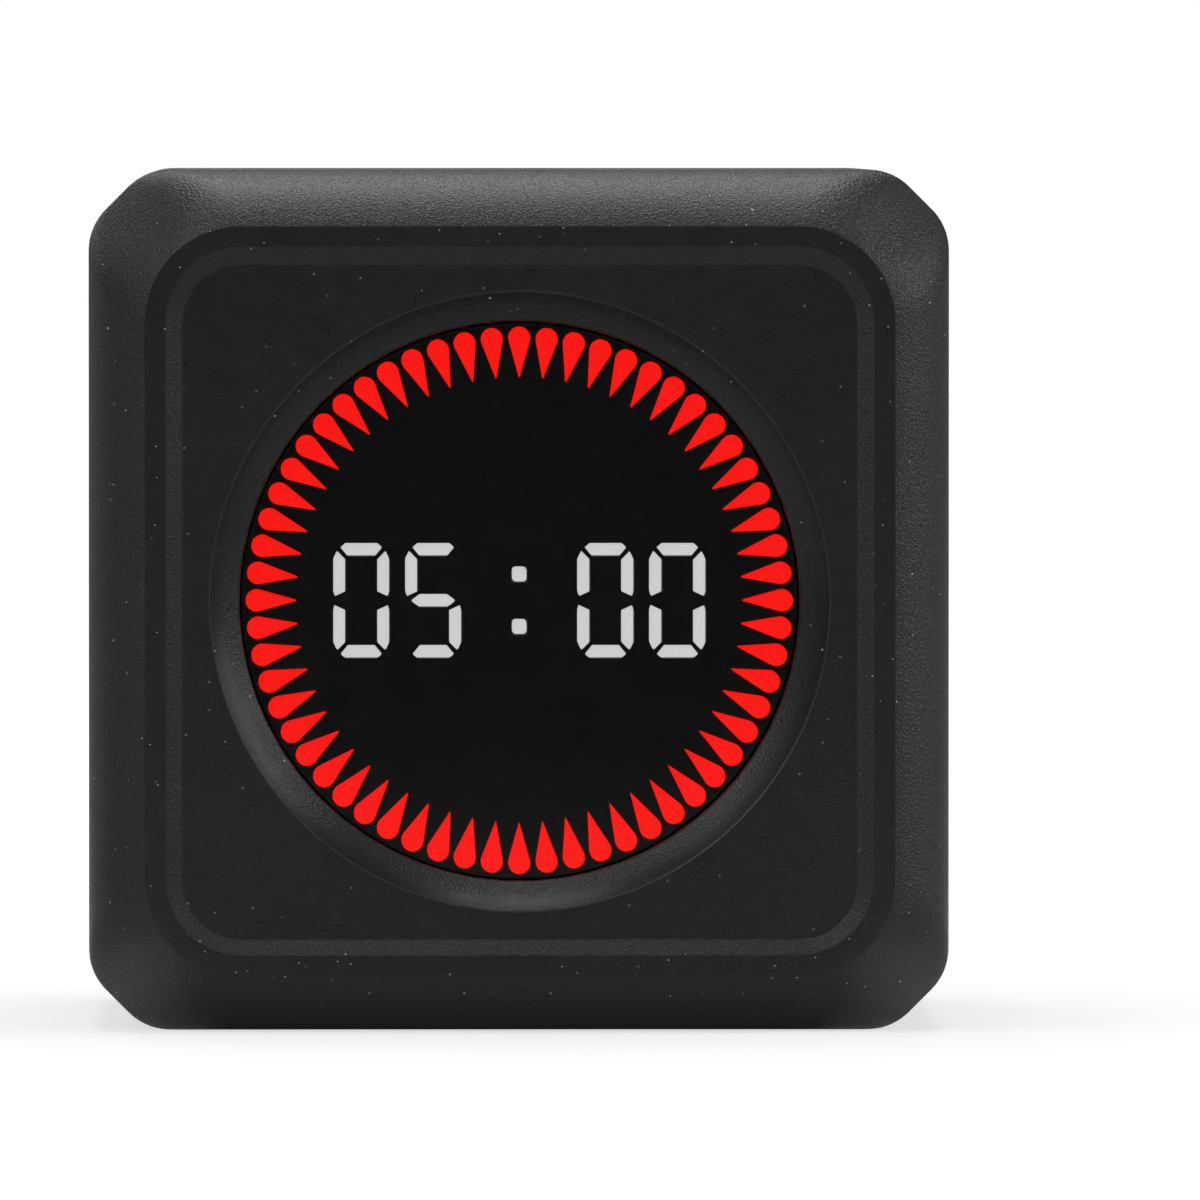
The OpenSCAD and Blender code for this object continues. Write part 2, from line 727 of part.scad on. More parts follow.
module charge_chip() {
    chip(-chip_x, charger_y, charger);
}

module sounder() {
    color("#1b1b1d") stand() translate([0, sounder_y, z_board_rear - sounder_h]) difference() {
        cylinder(d = sounder_d, h = sounder_h);
        translate([0, 0, -bite]) cylinder(r = sounder_vent[0], h = sounder_vent[1] + bite);
    }
}

module sounder_seal() {
    color("#2e2e30") stand() translate([0, sounder_y, z_back_inner]) difference() {
        cylinder(d = sounder_d, h = sounder_seal_t);
        translate([0, 0, -bite]) cylinder(d = sounder_d - 2 * sounder_ring, h = sounder_seal_t + 2 * bite);
    }
}

module socket_shell() {
    color("#b9b9bd") stand() translate([0, socket_y, z_socket]) linear_extrude(z_board_rear - z_socket)
        difference() {
            stadium(socket_long, socket_short);
            stadium(socket_long - 2 * socket_skin, socket_short - 2 * socket_skin);
        }
}

module socket_tongue() {
    inset = 2 * (socket_skin + touch);
    length = z_board_rear - z_socket - tongue_sunk;
    color("#141415") stand() translate([0, socket_y, z_board_rear]) {
        translate([0, 0, -socket_base]) linear_extrude(socket_base)
            stadium(socket_long - inset, socket_short - inset);
        translate([-tongue_long / 2, -tongue_short / 2, -length])
            cube([tongue_long, tongue_short, length - touch]);
    }
}

// Push-button switch on the main board, with the pocket that its plunger slides in
module switch_base(x) {
    pocket = plunger_depth + button_travel + loose;
    color("#2a2a2c") stand() translate([x, button_y, z_switch]) difference() {
        translate([-switch_side / 2, -switch_side / 2, 0]) cube([switch_side, switch_side, switch_h]);
        translate([0, 0, -bite]) cylinder(r = plunger_r + touch, h = pocket + bite);
    }
}

module mode_switch_base() {
    switch_base(button_x);
}

module sound_switch_base() {
    switch_base(-button_x);
}

module power_switch_case() {
    room = slider_foot[0] + knob_travel + 2 * loose;
    slot = slider_stem[0] + knob_travel + 2 * loose;
    color("#b0b0b4") stand() translate([0, power_y, z_power]) difference() {
        translate([-power_case[0] / 2, -power_case[1] / 2, 0]) cube(power_case);
        translate([-room / 2, -slider_foot[1] / 2 - loose, power_roof])
            cube([room, slider_foot[1] + 2 * loose, slider_foot[2] + 2 * touch]);
        translate([-slot / 2, -slider_stem[1] / 2 - loose, -bite])
            cube([slot, slider_stem[1] + 2 * loose, power_roof + bite + touch]);
    }
}

// The cell and its leads

module cell() {
    color("#a9adb2") stand() {
        translate([0, cell_top - fold, z_cell + cell_t / 2]) rotate([90, 0, 0])
            linear_extrude(cell_length - fold) stadium(cell_width, cell_t);
        translate([-cell_width / 2 + cell_t / 2, cell_top - fold - touch, z_cell + cell_t - fold_t])
            cube([cell_width - cell_t, fold + touch, fold_t]);
    }
}

module cell_pad_foam() {
    side = cell_width - cell_t;
    color("#e6e6e2") stand() translate([-side / 2, cell_top - cell_length + pad_margin, z_board_front])
        cube([side, cell_length - fold - 2 * pad_margin, cell_pad]);
}

module cell_plug() {
    color("#ece9df") stand() translate([0, plug_y, z_board_front]) difference() {
        translate([-plug[0] / 2, -plug[1] / 2, 0]) cube(plug);
        for (x = [-1, 1]) translate([x * wire_apart / 2, 0, plug[2] - wire_sunk - touch])
            cylinder(r = wire_r + wire_clear, h = wire_sunk + touch + bite);
    }
}

// One lead: an arc out of the cell's end and down into the plug
module cell_wire(x) {
    stand() translate([x, cell_top, z_wire - wire_bend]) rotate([0, -90, 0])
        rotate_extrude(angle = 90) translate([wire_bend, 0]) circle(r = wire_r);
}

module cell_wire_red() {
    color("#b5211d") cell_wire(-wire_apart / 2);
}

module cell_wire_black() {
    color("#1a1a1a") cell_wire(wire_apart / 2);
}

// Flat cable from board to board, with a slack bow
module display_ribbon() {
    span = z_ribbon[1] - z_ribbon[0];
    line = [for (i = [0 : ribbon_steps])
        let (t = i / ribbon_steps) [ribbon_x + ribbon_bow * pow(sin(180 * t), 2), z_ribbon[0] + span * t]];
    path = concat([[ribbon_x, z_ribbon[0] - ribbon_socket_slot + touch]], line,
        [[ribbon_x, z_ribbon[1] + ribbon_socket_slot - touch]]);
    side = [ribbon_t / 2, 0];
    color("#d9d6c8") stand() translate([0, ribbon_width / 2, 0]) rotate([90, 0, 0])
        linear_extrude(ribbon_width)
            polygon(concat([for (p = path) p - side], reversed([for (p = path) p + side])));
}

// Socket for one end of the flat cable, standing on a board at zero and opening along +z
module ribbon_socket_solid() {
    color("#cfc9b4") difference() {
        translate([ribbon_x - ribbon_socket[0] / 2, -ribbon_socket[1] / 2, 0]) cube(ribbon_socket);
        translate([ribbon_x - ribbon_t / 2 - touch, -ribbon_width / 2 - touch,
            ribbon_socket[2] - ribbon_socket_slot])
            cube([ribbon_t + 2 * touch, ribbon_width + 2 * touch, ribbon_socket_slot + bite]);
    }
}

module display_ribbon_socket() {
    stand() translate([0, 0, z_display_back]) mirror([0, 0, 1]) ribbon_socket_solid();
}

module main_ribbon_socket() {
    stand() translate([0, 0, z_board_front]) ribbon_socket_solid();
}

// The pieces that move

// Button cap, held behind the back wall by its flange and resting on its switch
module button_cap(x) {
    flange_r = button_d / 2 + cap_flange;
    z_flange = z_back_inner + touch;
    color("#2c2c2e") stand() translate([x, button_y, 0]) {
        translate([0, 0, z_cap]) cylinder(d1 = button_d - 2 * cap_chamfer, d2 = button_d, h = cap_chamfer);
        translate([0, 0, z_cap + cap_chamfer])
            cylinder(d = button_d, h = z_flange + touch - z_cap - cap_chamfer);
        translate([0, 0, z_flange]) cylinder(r = flange_r, h = cap_flange_t);
        translate([0, 0, z_flange + cap_flange_t - touch])
            cylinder(r = plunger_r, h = z_plunger - z_flange - cap_flange_t);
    }
}

module switch_plunger(x) {
    color("#d0c9b0") stand() translate([x, button_y, z_plunger])
        cylinder(r = plunger_r, h = plunger_proud + plunger_depth);
}

module mode_button_cap() {
    button_cap(button_x);
}

module mode_switch_plunger() {
    switch_plunger(button_x);
}

module sound_button_cap() {
    button_cap(-button_x);
}

module sound_switch_plunger() {
    switch_plunger(-button_x);
}

// Knob in the back wall: a ribbed grip on a plate that always covers the slot
module power_knob() {
    z_plate = z_back_inner + touch;
    ridge = 0.3;
    groove = knob_length / (2 * grip_ridges + 1);
    color("#2c2c2e") stand() translate([knob_at, power_y, 0]) difference() {
        union() {
            translate([-knob_length / 2, -knob_width / 2, z_cap])
                cube([knob_length, knob_width, z_plate + touch - z_cap]);
            translate([-knob_flange[0] / 2, -knob_flange[1] / 2, z_plate])
                cube([knob_flange[0], knob_flange[1], knob_flange_t]);
        }
        for (i = [0 : grip_ridges - 1])
            translate([-knob_length / 2 + groove * (2 * i + 1), -knob_width / 2 - bite, z_cap - bite])
                cube([groove, knob_width + 2 * bite, ridge + bite]);
        translate([-slider_stem[0] / 2 - touch, -slider_stem[1] / 2 - touch, z_plate - stem_reach])
            cube([slider_stem[0] + 2 * touch, slider_stem[1] + 2 * touch, stem_reach + knob_flange_t + bite]);
    }
}

module power_slider() {
    z_foot = z_power + power_roof + touch;
    z_tip = z_back_inner - stem_reach + 2 * touch;
    color("#d0c9b0") stand() translate([knob_at, power_y, 0]) {
        translate([-slider_foot[0] / 2, -slider_foot[1] / 2, z_foot]) cube(slider_foot);
        translate([-slider_stem[0] / 2, -slider_stem[1] / 2, z_tip])
            cube([slider_stem[0], slider_stem[1], z_foot + touch - z_tip]);
    }
}

front_shell();
rear_cover();
case_screws();
side_numbers();
display_lens();
light_block();
minute_drops();
lit_segments();
unlit_segments();
colon_dots();
light_seal();
display_board();
drop_leds();
digit_leds();
display_screws();
main_board();
board_screws();
microcontroller();
tilt_sensor();
charge_chip();
sounder();
sounder_seal();
socket_shell();
socket_tongue();
mode_switch_base();
sound_switch_base();
power_switch_case();
cell();
cell_pad_foam();
cell_plug();
cell_wire_red();
cell_wire_black();
display_ribbon();
display_ribbon_socket();
main_ribbon_socket();
mode_button_cap();
mode_switch_plunger();
sound_button_cap();
sound_switch_plunger();
power_knob();
power_slider();
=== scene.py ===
from math import asin, atan, atan2, cos, pi, radians, sin, sqrt, tan

import bmesh
import bpy
from mathutils import Matrix, Vector


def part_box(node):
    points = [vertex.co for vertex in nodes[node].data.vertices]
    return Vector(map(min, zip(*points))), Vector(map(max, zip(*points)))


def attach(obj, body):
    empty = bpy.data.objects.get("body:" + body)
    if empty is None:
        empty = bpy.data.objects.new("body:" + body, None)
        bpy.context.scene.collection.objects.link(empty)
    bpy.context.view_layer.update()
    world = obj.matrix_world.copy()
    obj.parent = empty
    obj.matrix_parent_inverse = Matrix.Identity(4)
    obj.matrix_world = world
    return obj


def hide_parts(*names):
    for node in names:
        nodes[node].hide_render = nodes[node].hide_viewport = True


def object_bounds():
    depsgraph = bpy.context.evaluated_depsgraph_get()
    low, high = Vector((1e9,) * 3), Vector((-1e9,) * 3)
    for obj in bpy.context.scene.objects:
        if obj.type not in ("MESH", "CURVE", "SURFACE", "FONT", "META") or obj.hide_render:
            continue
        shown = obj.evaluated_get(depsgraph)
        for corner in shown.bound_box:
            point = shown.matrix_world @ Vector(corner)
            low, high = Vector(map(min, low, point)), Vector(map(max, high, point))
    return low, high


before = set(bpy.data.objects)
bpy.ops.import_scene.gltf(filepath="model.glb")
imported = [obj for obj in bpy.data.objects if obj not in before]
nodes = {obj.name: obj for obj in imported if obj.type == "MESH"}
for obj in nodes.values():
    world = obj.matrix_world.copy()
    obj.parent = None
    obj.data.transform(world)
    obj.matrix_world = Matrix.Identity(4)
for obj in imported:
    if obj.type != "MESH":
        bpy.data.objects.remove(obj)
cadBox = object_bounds()
mm = 0.001
half = (cadBox[1].x - cadBox[0].x) / 2 / mm
print("frame loaded with", len(nodes), "nodes, cube of", round(2 * half, 2), "mm")


# Shapes are drawn in the front view in millimetres: x right, y up, z towards the viewer, cube centre at 0
def stand(x, y, z):
    return Vector((x, -z, y + half)) * mm


# The same point left lying in the front view, for a shape that repeat() sets upright
def lay(x, y, z):
    return Vector((x, y, z)) * mm


def reversedList(items):
    return list(reversed(items))


def addObject(name, data):
    made = bpy.data.objects.new(name, data)
    bpy.context.scene.collection.objects.link(made)
    return made


# Node helpers, for materials and geometry trees alike

def setInputs(node, values):
    for name, value in values.items():
        node.inputs[name].default_value = value


def feed(tree, node, sources):
    for name, source in sources.items():
        tree.links.new(source, node.inputs[name])


def calc(tree, how, a, b=0.0):
    node = tree.nodes.new("ShaderNodeMath")
    node.operation = how
    for socket, value in zip(node.inputs, (a, b)):
        if isinstance(value, (int, float)):
            socket.default_value = value
        else:
            tree.links.new(value, socket)
    return node.outputs["Value"]


def splitAxes(tree, vector):
    node = tree.nodes.new("ShaderNodeSeparateXYZ")
    feed(tree, node, {"Vector": vector})
    return node.outputs


# Materials: small helpers first, then one function for each finish

def newMaterial(name):
    material = bpy.data.materials.new(name)
    material.use_nodes = True
    tree = material.node_tree
    return material, tree, tree.nodes["Principled BSDF"]


def objectPlace(tree):
    found = tree.nodes.get("place")
    if found is None:
        found = tree.nodes.new("ShaderNodeTexCoord")
        found.name = "place"
    return found.outputs["Object"]


def noiseAt(tree, size, detail=2.0, swirl=0.0):
    node = tree.nodes.new("ShaderNodeTexNoise")
    setInputs(node, {"Scale": 1 / (size * mm), "Detail": detail, "Distortion": swirl})
    feed(tree, node, {"Vector": objectPlace(tree)})
    return node.outputs["Fac"]


def cellsAt(tree, size, feature="F1"):
    node = tree.nodes.new("ShaderNodeTexVoronoi")
    node.feature = feature
    setInputs(node, {"Scale": 1 / (size * mm)})
    feed(tree, node, {"Vector": objectPlace(tree)})
    return node.outputs


def spread(tree, value, fromLow, fromHigh, low, high):
    node = tree.nodes.new("ShaderNodeMapRange")
    setInputs(node, {"From Min": fromLow, "From Max": fromHigh, "To Min": low, "To Max": high})
    feed(tree, node, {"Value": value})
    return node.outputs["Result"]


# Noise that wanders between two values, in broad soft patches or in finer ones
def broadPatches(tree, size, low=0, high=1):
    return spread(tree, noiseAt(tree, size, 3), 0.35, 0.65, low, high)


def finePatches(tree, size, low=0, high=1):
    return spread(tree, noiseAt(tree, size), 0.3, 0.7, low, high)


def blendColours(tree, share, a, b):
    node = tree.nodes.new("ShaderNodeMix")
    node.data_type = "RGBA"
    feed(tree, node, {"Factor": share})
    for socket, value in ((node.inputs[6], a), (node.inputs[7], b)):    # its sockets for colours
        if isinstance(value, tuple):
            socket.default_value = (*value, 1)
        else:
            tree.links.new(value, socket)
    return node.outputs[2]


def bump(tree, height, distance):
    node = tree.nodes.new("ShaderNodeBump")
    setInputs(node, {"Strength": 1.0, "Distance": distance * mm})
    feed(tree, node, {"Height": height})
    return node.outputs["Normal"]


# Distance from the line through the middle of the dial, from front to back
def distanceFromAxis(tree):
    axes = splitAxes(tree, objectPlace(tree))
    up = calc(tree, "SUBTRACT", axes["Z"], half * mm)
    squares = calc(tree, "ADD", calc(tree, "POWER", axes["X"], 2), calc(tree, "POWER", up, 2))
    return calc(tree, "SQRT", squares)


# Size of a second pattern as a share of the first one in the same finish
patchShares = {"plainRough": 0.4, "caseRough": 0.3, "windowTint": 0.5, "boardRough": 4}


# One finish for every plain piece: two close colours in soft patches, roughness that wanders, a fine relief
def plainFinish(name, dark, light, patch, rough, grain, relief, fixed):
    material, tree, shader = newMaterial(name)
    feed(tree, shader, {
        "Base Color": blendColours(tree, broadPatches(tree, patch), dark, light),
        "Roughness": finePatches(tree, patch * patchShares["plainRough"], *rough),
        "Normal": bump(tree, noiseAt(tree, grain), relief)})
    setInputs(shader, fixed)
    return material


hideGrain = {
    "swirl": 0.5, "folds": 0.7, "pores": 0.3, "poreSize": 0.8,
    "speckCore": 0.5,                                # share of a speck of dust that is full
    "level": (0.9, 0.99),                            # fades where a face looks squarely ahead or back
    "dish": (22.0 * mm, 22.7 * mm),                  # and again in the dish, by distance from its middle
    "panel": (23.7 * mm, 24.1 * mm),
}


# Black moulded plastic with a fine hide grain and a few specks of dust
def caseFinish(name, look):
    material, tree, shader = newMaterial(name)
    colour = blendColours(tree, broadPatches(tree, look["patch"]), look["dark"], look["light"])
    dust = None
    for size, width, share in look["dust"]:
        cells = cellsAt(tree, size)
        near = spread(tree, cells["Distance"], width * hideGrain["speckCore"] / size, width / size, 1, 0)
        pick = tree.nodes.new("ShaderNodeSeparateColor")
        feed(tree, pick, {"Color": cells["Color"]})
        chosen = calc(tree, "LESS_THAN", pick.outputs["Red"], share)
        bright = calc(tree, "POWER", pick.outputs["Green"], look["rare"])
        speck = calc(tree, "MULTIPLY", calc(tree, "MULTIPLY", near, chosen), bright)
        dust = speck if dust is None else calc(tree, "MAXIMUM", dust, speck)
    folds = noiseAt(tree, look["grain"], swirl=hideGrain["swirl"])
    pores = cellsAt(tree, look["grain"] * hideGrain["poreSize"], "SMOOTH_F1")["Distance"]
    hide = calc(tree, "ADD", calc(tree, "MULTIPLY", folds, hideGrain["folds"]),
                calc(tree, "MULTIPLY", pores, hideGrain["pores"]))
    relief = bump(tree, hide, look["relief"])
    facing = splitAxes(tree, tree.nodes["place"].outputs["Normal"])
    level = spread(tree, calc(tree, "ABSOLUTE", facing["Y"]), *hideGrain["level"], 1, look["levelRelief"])
    fromAxis = distanceFromAxis(tree)
    inDish = spread(tree, fromAxis, *hideGrain["dish"], *look["dishRelief"])
    inDish = calc(tree, "MAXIMUM", inDish, spread(tree, fromAxis, *hideGrain["panel"], 0, 1))
    feed(tree, relief.node, {"Strength": calc(tree, "MINIMUM", level, inDish)})
    feed(tree, shader, {
        "Base Color": blendColours(tree, dust, colour, look["dustColour"]),
        "Roughness": finePatches(tree, look["patch"] * patchShares["caseRough"], *look["rough"]),
        "Normal": relief})
    setInputs(shader, look["fixed"])
    return material


# Smoked window: the lit pieces behind it show through
def windowFinish(name, look):
    material, tree, shader = newMaterial(name)
    tint = finePatches(tree, look["patch"] * patchShares["windowTint"])
    feed(tree, shader, {
        "Base Color": blendColours(tree, tint, look["dark"], look["light"]),
        "Roughness": broadPatches(tree, look["patch"], *look["rough"])})
    setInputs(shader, look["fixed"])
    return material


# Cast resin lit from behind, with a little unevenness in the cast
def glowFinish(name, look):
    material, tree, shader = newMaterial(name)
    cast = finePatches(tree, look["patch"])
    feed(tree, shader, {"Base Color": blendColours(tree, cast, look["dark"], look["light"])})
    setInputs(shader, {"Roughness": look["rough"], "Emission Color": (*look["glow"], 1),
                       "Emission Strength": look["strength"]})
    return material


# Green solder mask with straight copper tracks under it
def boardFinish(name, look):
    material, tree, shader = newMaterial(name)
    turn = tree.nodes.new("ShaderNodeMapping")
    turn.inputs["Rotation"].default_value = (pi / 2, 0, 0)
    feed(tree, turn, {"Vector": objectPlace(tree)})
    tracks = tree.nodes.new("ShaderNodeTexBrick")
    setInputs(tracks, {"Scale": 1 / (look["track"] * mm), "Mortar Size": look["trackWide"],
                       "Color1": (0, 0, 0, 1), "Color2": (0.25, 0.25, 0.25, 1), "Mortar": (1, 1, 1, 1)})
    feed(tree, tracks, {"Vector": turn.outputs["Vector"]})
    line = tree.nodes.new("ShaderNodeRGBToBW")
    feed(tree, line, {"Color": tracks.outputs["Color"]})
    copper = line.outputs["Val"]
    feed(tree, shader, {
        "Base Color": blendColours(tree, copper, look["dark"], look["light"]),
        "Roughness": finePatches(tree, look["track"] * patchShares["boardRough"], *look["rough"]),
        "Normal": bump(tree, copper, look["relief"])})
    return material


finishes = {
    "case": caseFinish("case_black", {
        "dark": (0.0148, 0.0148, 0.015), "light": (0.0172, 0.0172, 0.0174), "patch": 6.0,
        "rough": (0.27, 0.32), "grain": 0.19, "relief": 0.122, "levelRelief": 0.24,
        "dishRelief": (0.5, 0.15),
        "dust": ((1.5, 0.115, 0.8), (0.9, 0.07, 0.95)),     # cell size, width of a speck, share of cells
        "dustColour": (0.95, 0.95, 0.95), "rare": 5.0,
        "fixed": {"IOR": 1.5, "Specular IOR Level": 0.5}}),
    "button": caseFinish("button_black", {
        "dark": (0.014, 0.014, 0.0145), "light": (0.018, 0.018, 0.0185), "patch": 4.0,
        "rough": (0.4, 0.48), "grain": 0.3, "relief": 0.02, "levelRelief": 1.0, "dishRelief": (1.0, 1.0),
        "dust": ((4.0, 0.1, 0.2),), "dustColour": (0.3, 0.3, 0.3), "rare": 2.0,
        "fixed": {"IOR": 1.5, "Specular IOR Level": 0.5}}),
    "window": windowFinish("window_smoked", {
        "dark": (0.0095, 0.0095, 0.0097), "light": (0.0115, 0.0115, 0.0117), "patch": 5.0,
        "rough": (0.06, 0.11), "fixed": {"IOR": 1.5, "Alpha": 0.25}}),
    "redGlow": glowFinish("resin_red", {
        "dark": (0.42, 0.010, 0.008), "light": (0.5, 0.014, 0.011), "patch": 0.6, "rough": 0.4,
        "glow": (1.0, 0.005, 0.0025), "strength": 1.595}),
    "whiteGlow": glowFinish("resin_white", {
        "dark": (0.5, 0.5, 0.49), "light": (0.58, 0.58, 0.57), "patch": 0.6, "rough": 0.4,
        "glow": (1.0, 1.0, 0.985), "strength": 0.98}),
    "board": boardFinish("board_green", {
        "dark": (0.008, 0.055, 0.022), "light": (0.02, 0.12, 0.05), "track": 1.4, "trackWide": 0.12,
        "relief": 0.03, "rough": (0.32, 0.45)}),
}
dull, metal = {"Specular IOR Level": 0.2}, {"Metallic": 1.0}
# Material name, dark and light colour, patch size, roughness, grain size, relief, fixed inputs
plainLooks = {
    "figure": ("figure_white", (0.6, 0.6, 0.585), (0.68, 0.68, 0.665), 3.0, (0.42, 0.55), 0.25, 0.012, {}),
    "block": ("block_black", (0.01, 0.01, 0.01), (0.013, 0.013, 0.013), 2.0, (0.7, 0.85), 0.2, 0.01, dull),
    "darkResin": ("resin_dark", (0.01, 0.01, 0.01), (0.0135, 0.0135, 0.0135), 1.0,
                  (0.6, 0.75), 0.2, 0.008, dull),
    "lamp": ("lamp_cream", (0.62, 0.56, 0.36), (0.74, 0.7, 0.5), 0.5, (0.3, 0.45), 0.1, 0.005, {}),
    "chip": ("chip_black", (0.01, 0.01, 0.011), (0.018, 0.018, 0.019), 1.2, (0.5, 0.65), 0.12, 0.01, {}),
    "steel": ("screw_steel", (0.48, 0.48, 0.49), (0.62, 0.62, 0.63), 0.8, (0.25, 0.4), 0.15, 0.006, metal),
    "blackScrew": ("screw_black", (0.035, 0.035, 0.038), (0.075, 0.075, 0.08), 0.7,
                   (0.3, 0.45), 0.12, 0.008, metal),
    "socketMetal": ("socket_metal", (0.55, 0.55, 0.56), (0.68, 0.68, 0.69), 1.5,
                    (0.22, 0.36), 0.3, 0.006, metal),
    "contact": ("contact_gold", (0.72, 0.46, 0.14), (0.86, 0.6, 0.24), 0.5, (0.2, 0.32), 0.1, 0.003, metal),
    "foamBlack": ("foam_black", (0.012, 0.012, 0.012), (0.03, 0.03, 0.03), 0.4,
                  (0.85, 1.0), 0.18, 0.08, {}),
    "foamWhite": ("foam_white", (0.62, 0.62, 0.6), (0.78, 0.78, 0.76), 0.5, (0.85, 1.0), 0.2, 0.08, {}),
    "foil": ("cell_foil", (0.42, 0.43, 0.45), (0.58, 0.59, 0.61), 3.0, (0.3, 0.5), 1.2, 0.06, metal),
    "ivory": ("plastic_ivory", (0.6, 0.55, 0.42), (0.68, 0.63, 0.5), 1.5, (0.38, 0.5), 0.2, 0.008, {}),
    "film": ("ribbon_film", (0.62, 0.6, 0.52), (0.72, 0.7, 0.62), 1.0, (0.35, 0.5), 0.5, 0.02, {}),
    "wireRed": ("wire_red", (0.45, 0.012, 0.01), (0.6, 0.02, 0.016), 0.8, (0.4, 0.5), 0.2, 0.01, {}),
    "wireBlack": ("wire_black", (0.012, 0.012, 0.012), (0.022, 0.022, 0.022), 0.8,
                  (0.4, 0.5), 0.2, 0.01, {}),
}
for finish, look in plainLooks.items():
    finishes[finish] = plainFinish(*look)
print("finishes made:", len(finishes))


# Mesh tools

mergeWithin = 1e-7                                   # metres


def meshObject(name, bm, finish):
    bmesh.ops.remove_doubles(bm, verts=bm.verts, dist=mergeWithin)
    bmesh.ops.recalc_face_normals(bm, faces=bm.faces)
    mesh = bpy.data.meshes.new(name)
    bm.to_mesh(mesh)
    bm.free()
    mesh.materials.append(finishes[finish])
    return addObject(name, mesh)


# Joins rings of points; closed joins the last ring to the first, and otherwise both ends get a cap
def loft(bm, rings, closed=False):
    rows = [[bm.verts.new(point) for point in ring] for ring in rings]
    count = len(rows[0])
    pairs = list(zip(rows, rows[1:]))
    if closed:
        pairs.append((rows[-1], rows[0]))
    for lower, upper in pairs:
        for i in range(count):
            j = (i + 1) % count
            bm.faces.new((lower[i], lower[j], upper[j], upper[i]))
    if not closed:
        bm.faces.new(reversedList(rows[0]))
        bm.faces.new(rows[-1])


def bakeModifiers(piece):
    graph = bpy.context.evaluated_depsgraph_get()
    made = bpy.data.meshes.new_from_object(piece.evaluated_get(graph), depsgraph=graph)
    piece.modifiers.clear()
    piece.data = made


def cutAway(piece, cutter):
    cut = piece.modifiers.new("cut", "BOOLEAN")
    cut.operation = "DIFFERENCE"
    cut.solver = "EXACT"
    cut.object = cutter
    bakeModifiers(piece)
    bpy.data.objects.remove(cutter)


# Smooth faces with sharp edges past an angle in degrees, and normals that follow the larger faces
def smoothOff(piece, sharp):
    bm = bmesh.new()
    bm.from_mesh(piece.data)
    for face in bm.faces:
        face.smooth = True
    for edge in bm.edges:
        edge.smooth = len(edge.link_faces) == 2 and edge.calc_face_angle(0) < radians(sharp)
    bm.to_mesh(piece.data)
    bm.free()
    weigh = piece.modifiers.new("weigh", "WEIGHTED_NORMAL")
    weigh.keep_sharp = True
    bakeModifiers(piece)


# Shades a finished piece, hangs it on its body and hides the nodes that it stands for
def settle(piece, body, slot, *replaced, sharp=32):
    smoothOff(piece, sharp)
    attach(piece, body)
    if replaced:
        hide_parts(*replaced)


# Outline of a box with round corners, from a circle to a stadium, grown by a distance
def roundBox(wide, high, corner, grown=0.0, steps=8):
    r = corner + grown
    points = []
    for q, (sx, sy) in enumerate(((1, 1), (-1, 1), (-1, -1), (1, -1))):
        for i in range(steps + 1):
            a = pi / 2 * (q + i / steps)
            points.append((sx * (wide / 2 - corner) + r * cos(a), sy * (high / 2 - corner) + r * sin(a)))
    return points


# Outline with each corner rounded by an arc, which takes at most a share of the shorter edge
def roundCorners(points, radius, steps=4, most=0.48):
    made = []
    count = len(points)
    for i, here in enumerate(points):
        corner = Vector(here)
        before = Vector(points[i - 1]) - corner
        after = Vector(points[(i + 1) % count]) - corner
        turn = before.angle(after)
        room = min(before.length, after.length) * most
        reach = min(radius / tan(turn / 2), room)
        start = corner + before.normalized() * reach
        end = corner + after.normalized() * reach
        for k in range(steps + 1):
            t = k / steps
            made.append(tuple(start * (1 - t) ** 2 + corner * 2 * t * (1 - t) + end * t ** 2))
    return made


def arc(centre, radius, start, end, steps):
    turns = [start + (end - start) * i / steps for i in range(steps + 1)]
    return [(centre[0] + radius * cos(a), centre[1] + radius * sin(a)) for a in turns]


# Surface of revolution in the front view about (x, y), from a list of radius and z
def lathe(bm, profile, x=0.0, y=0.0, turns=48, put=stand, closed=False):
    angles = [2 * pi * i / turns for i in range(turns)]
    loft(bm, [[put(x + radius * cos(a), y + radius * sin(a), z) for a in angles]
              for radius, z in profile], closed)


def prism(bm, outline, low, high, put=stand):
    loft(bm, [[put(x, y, z) for x, y in outline] for z in (low, high)])


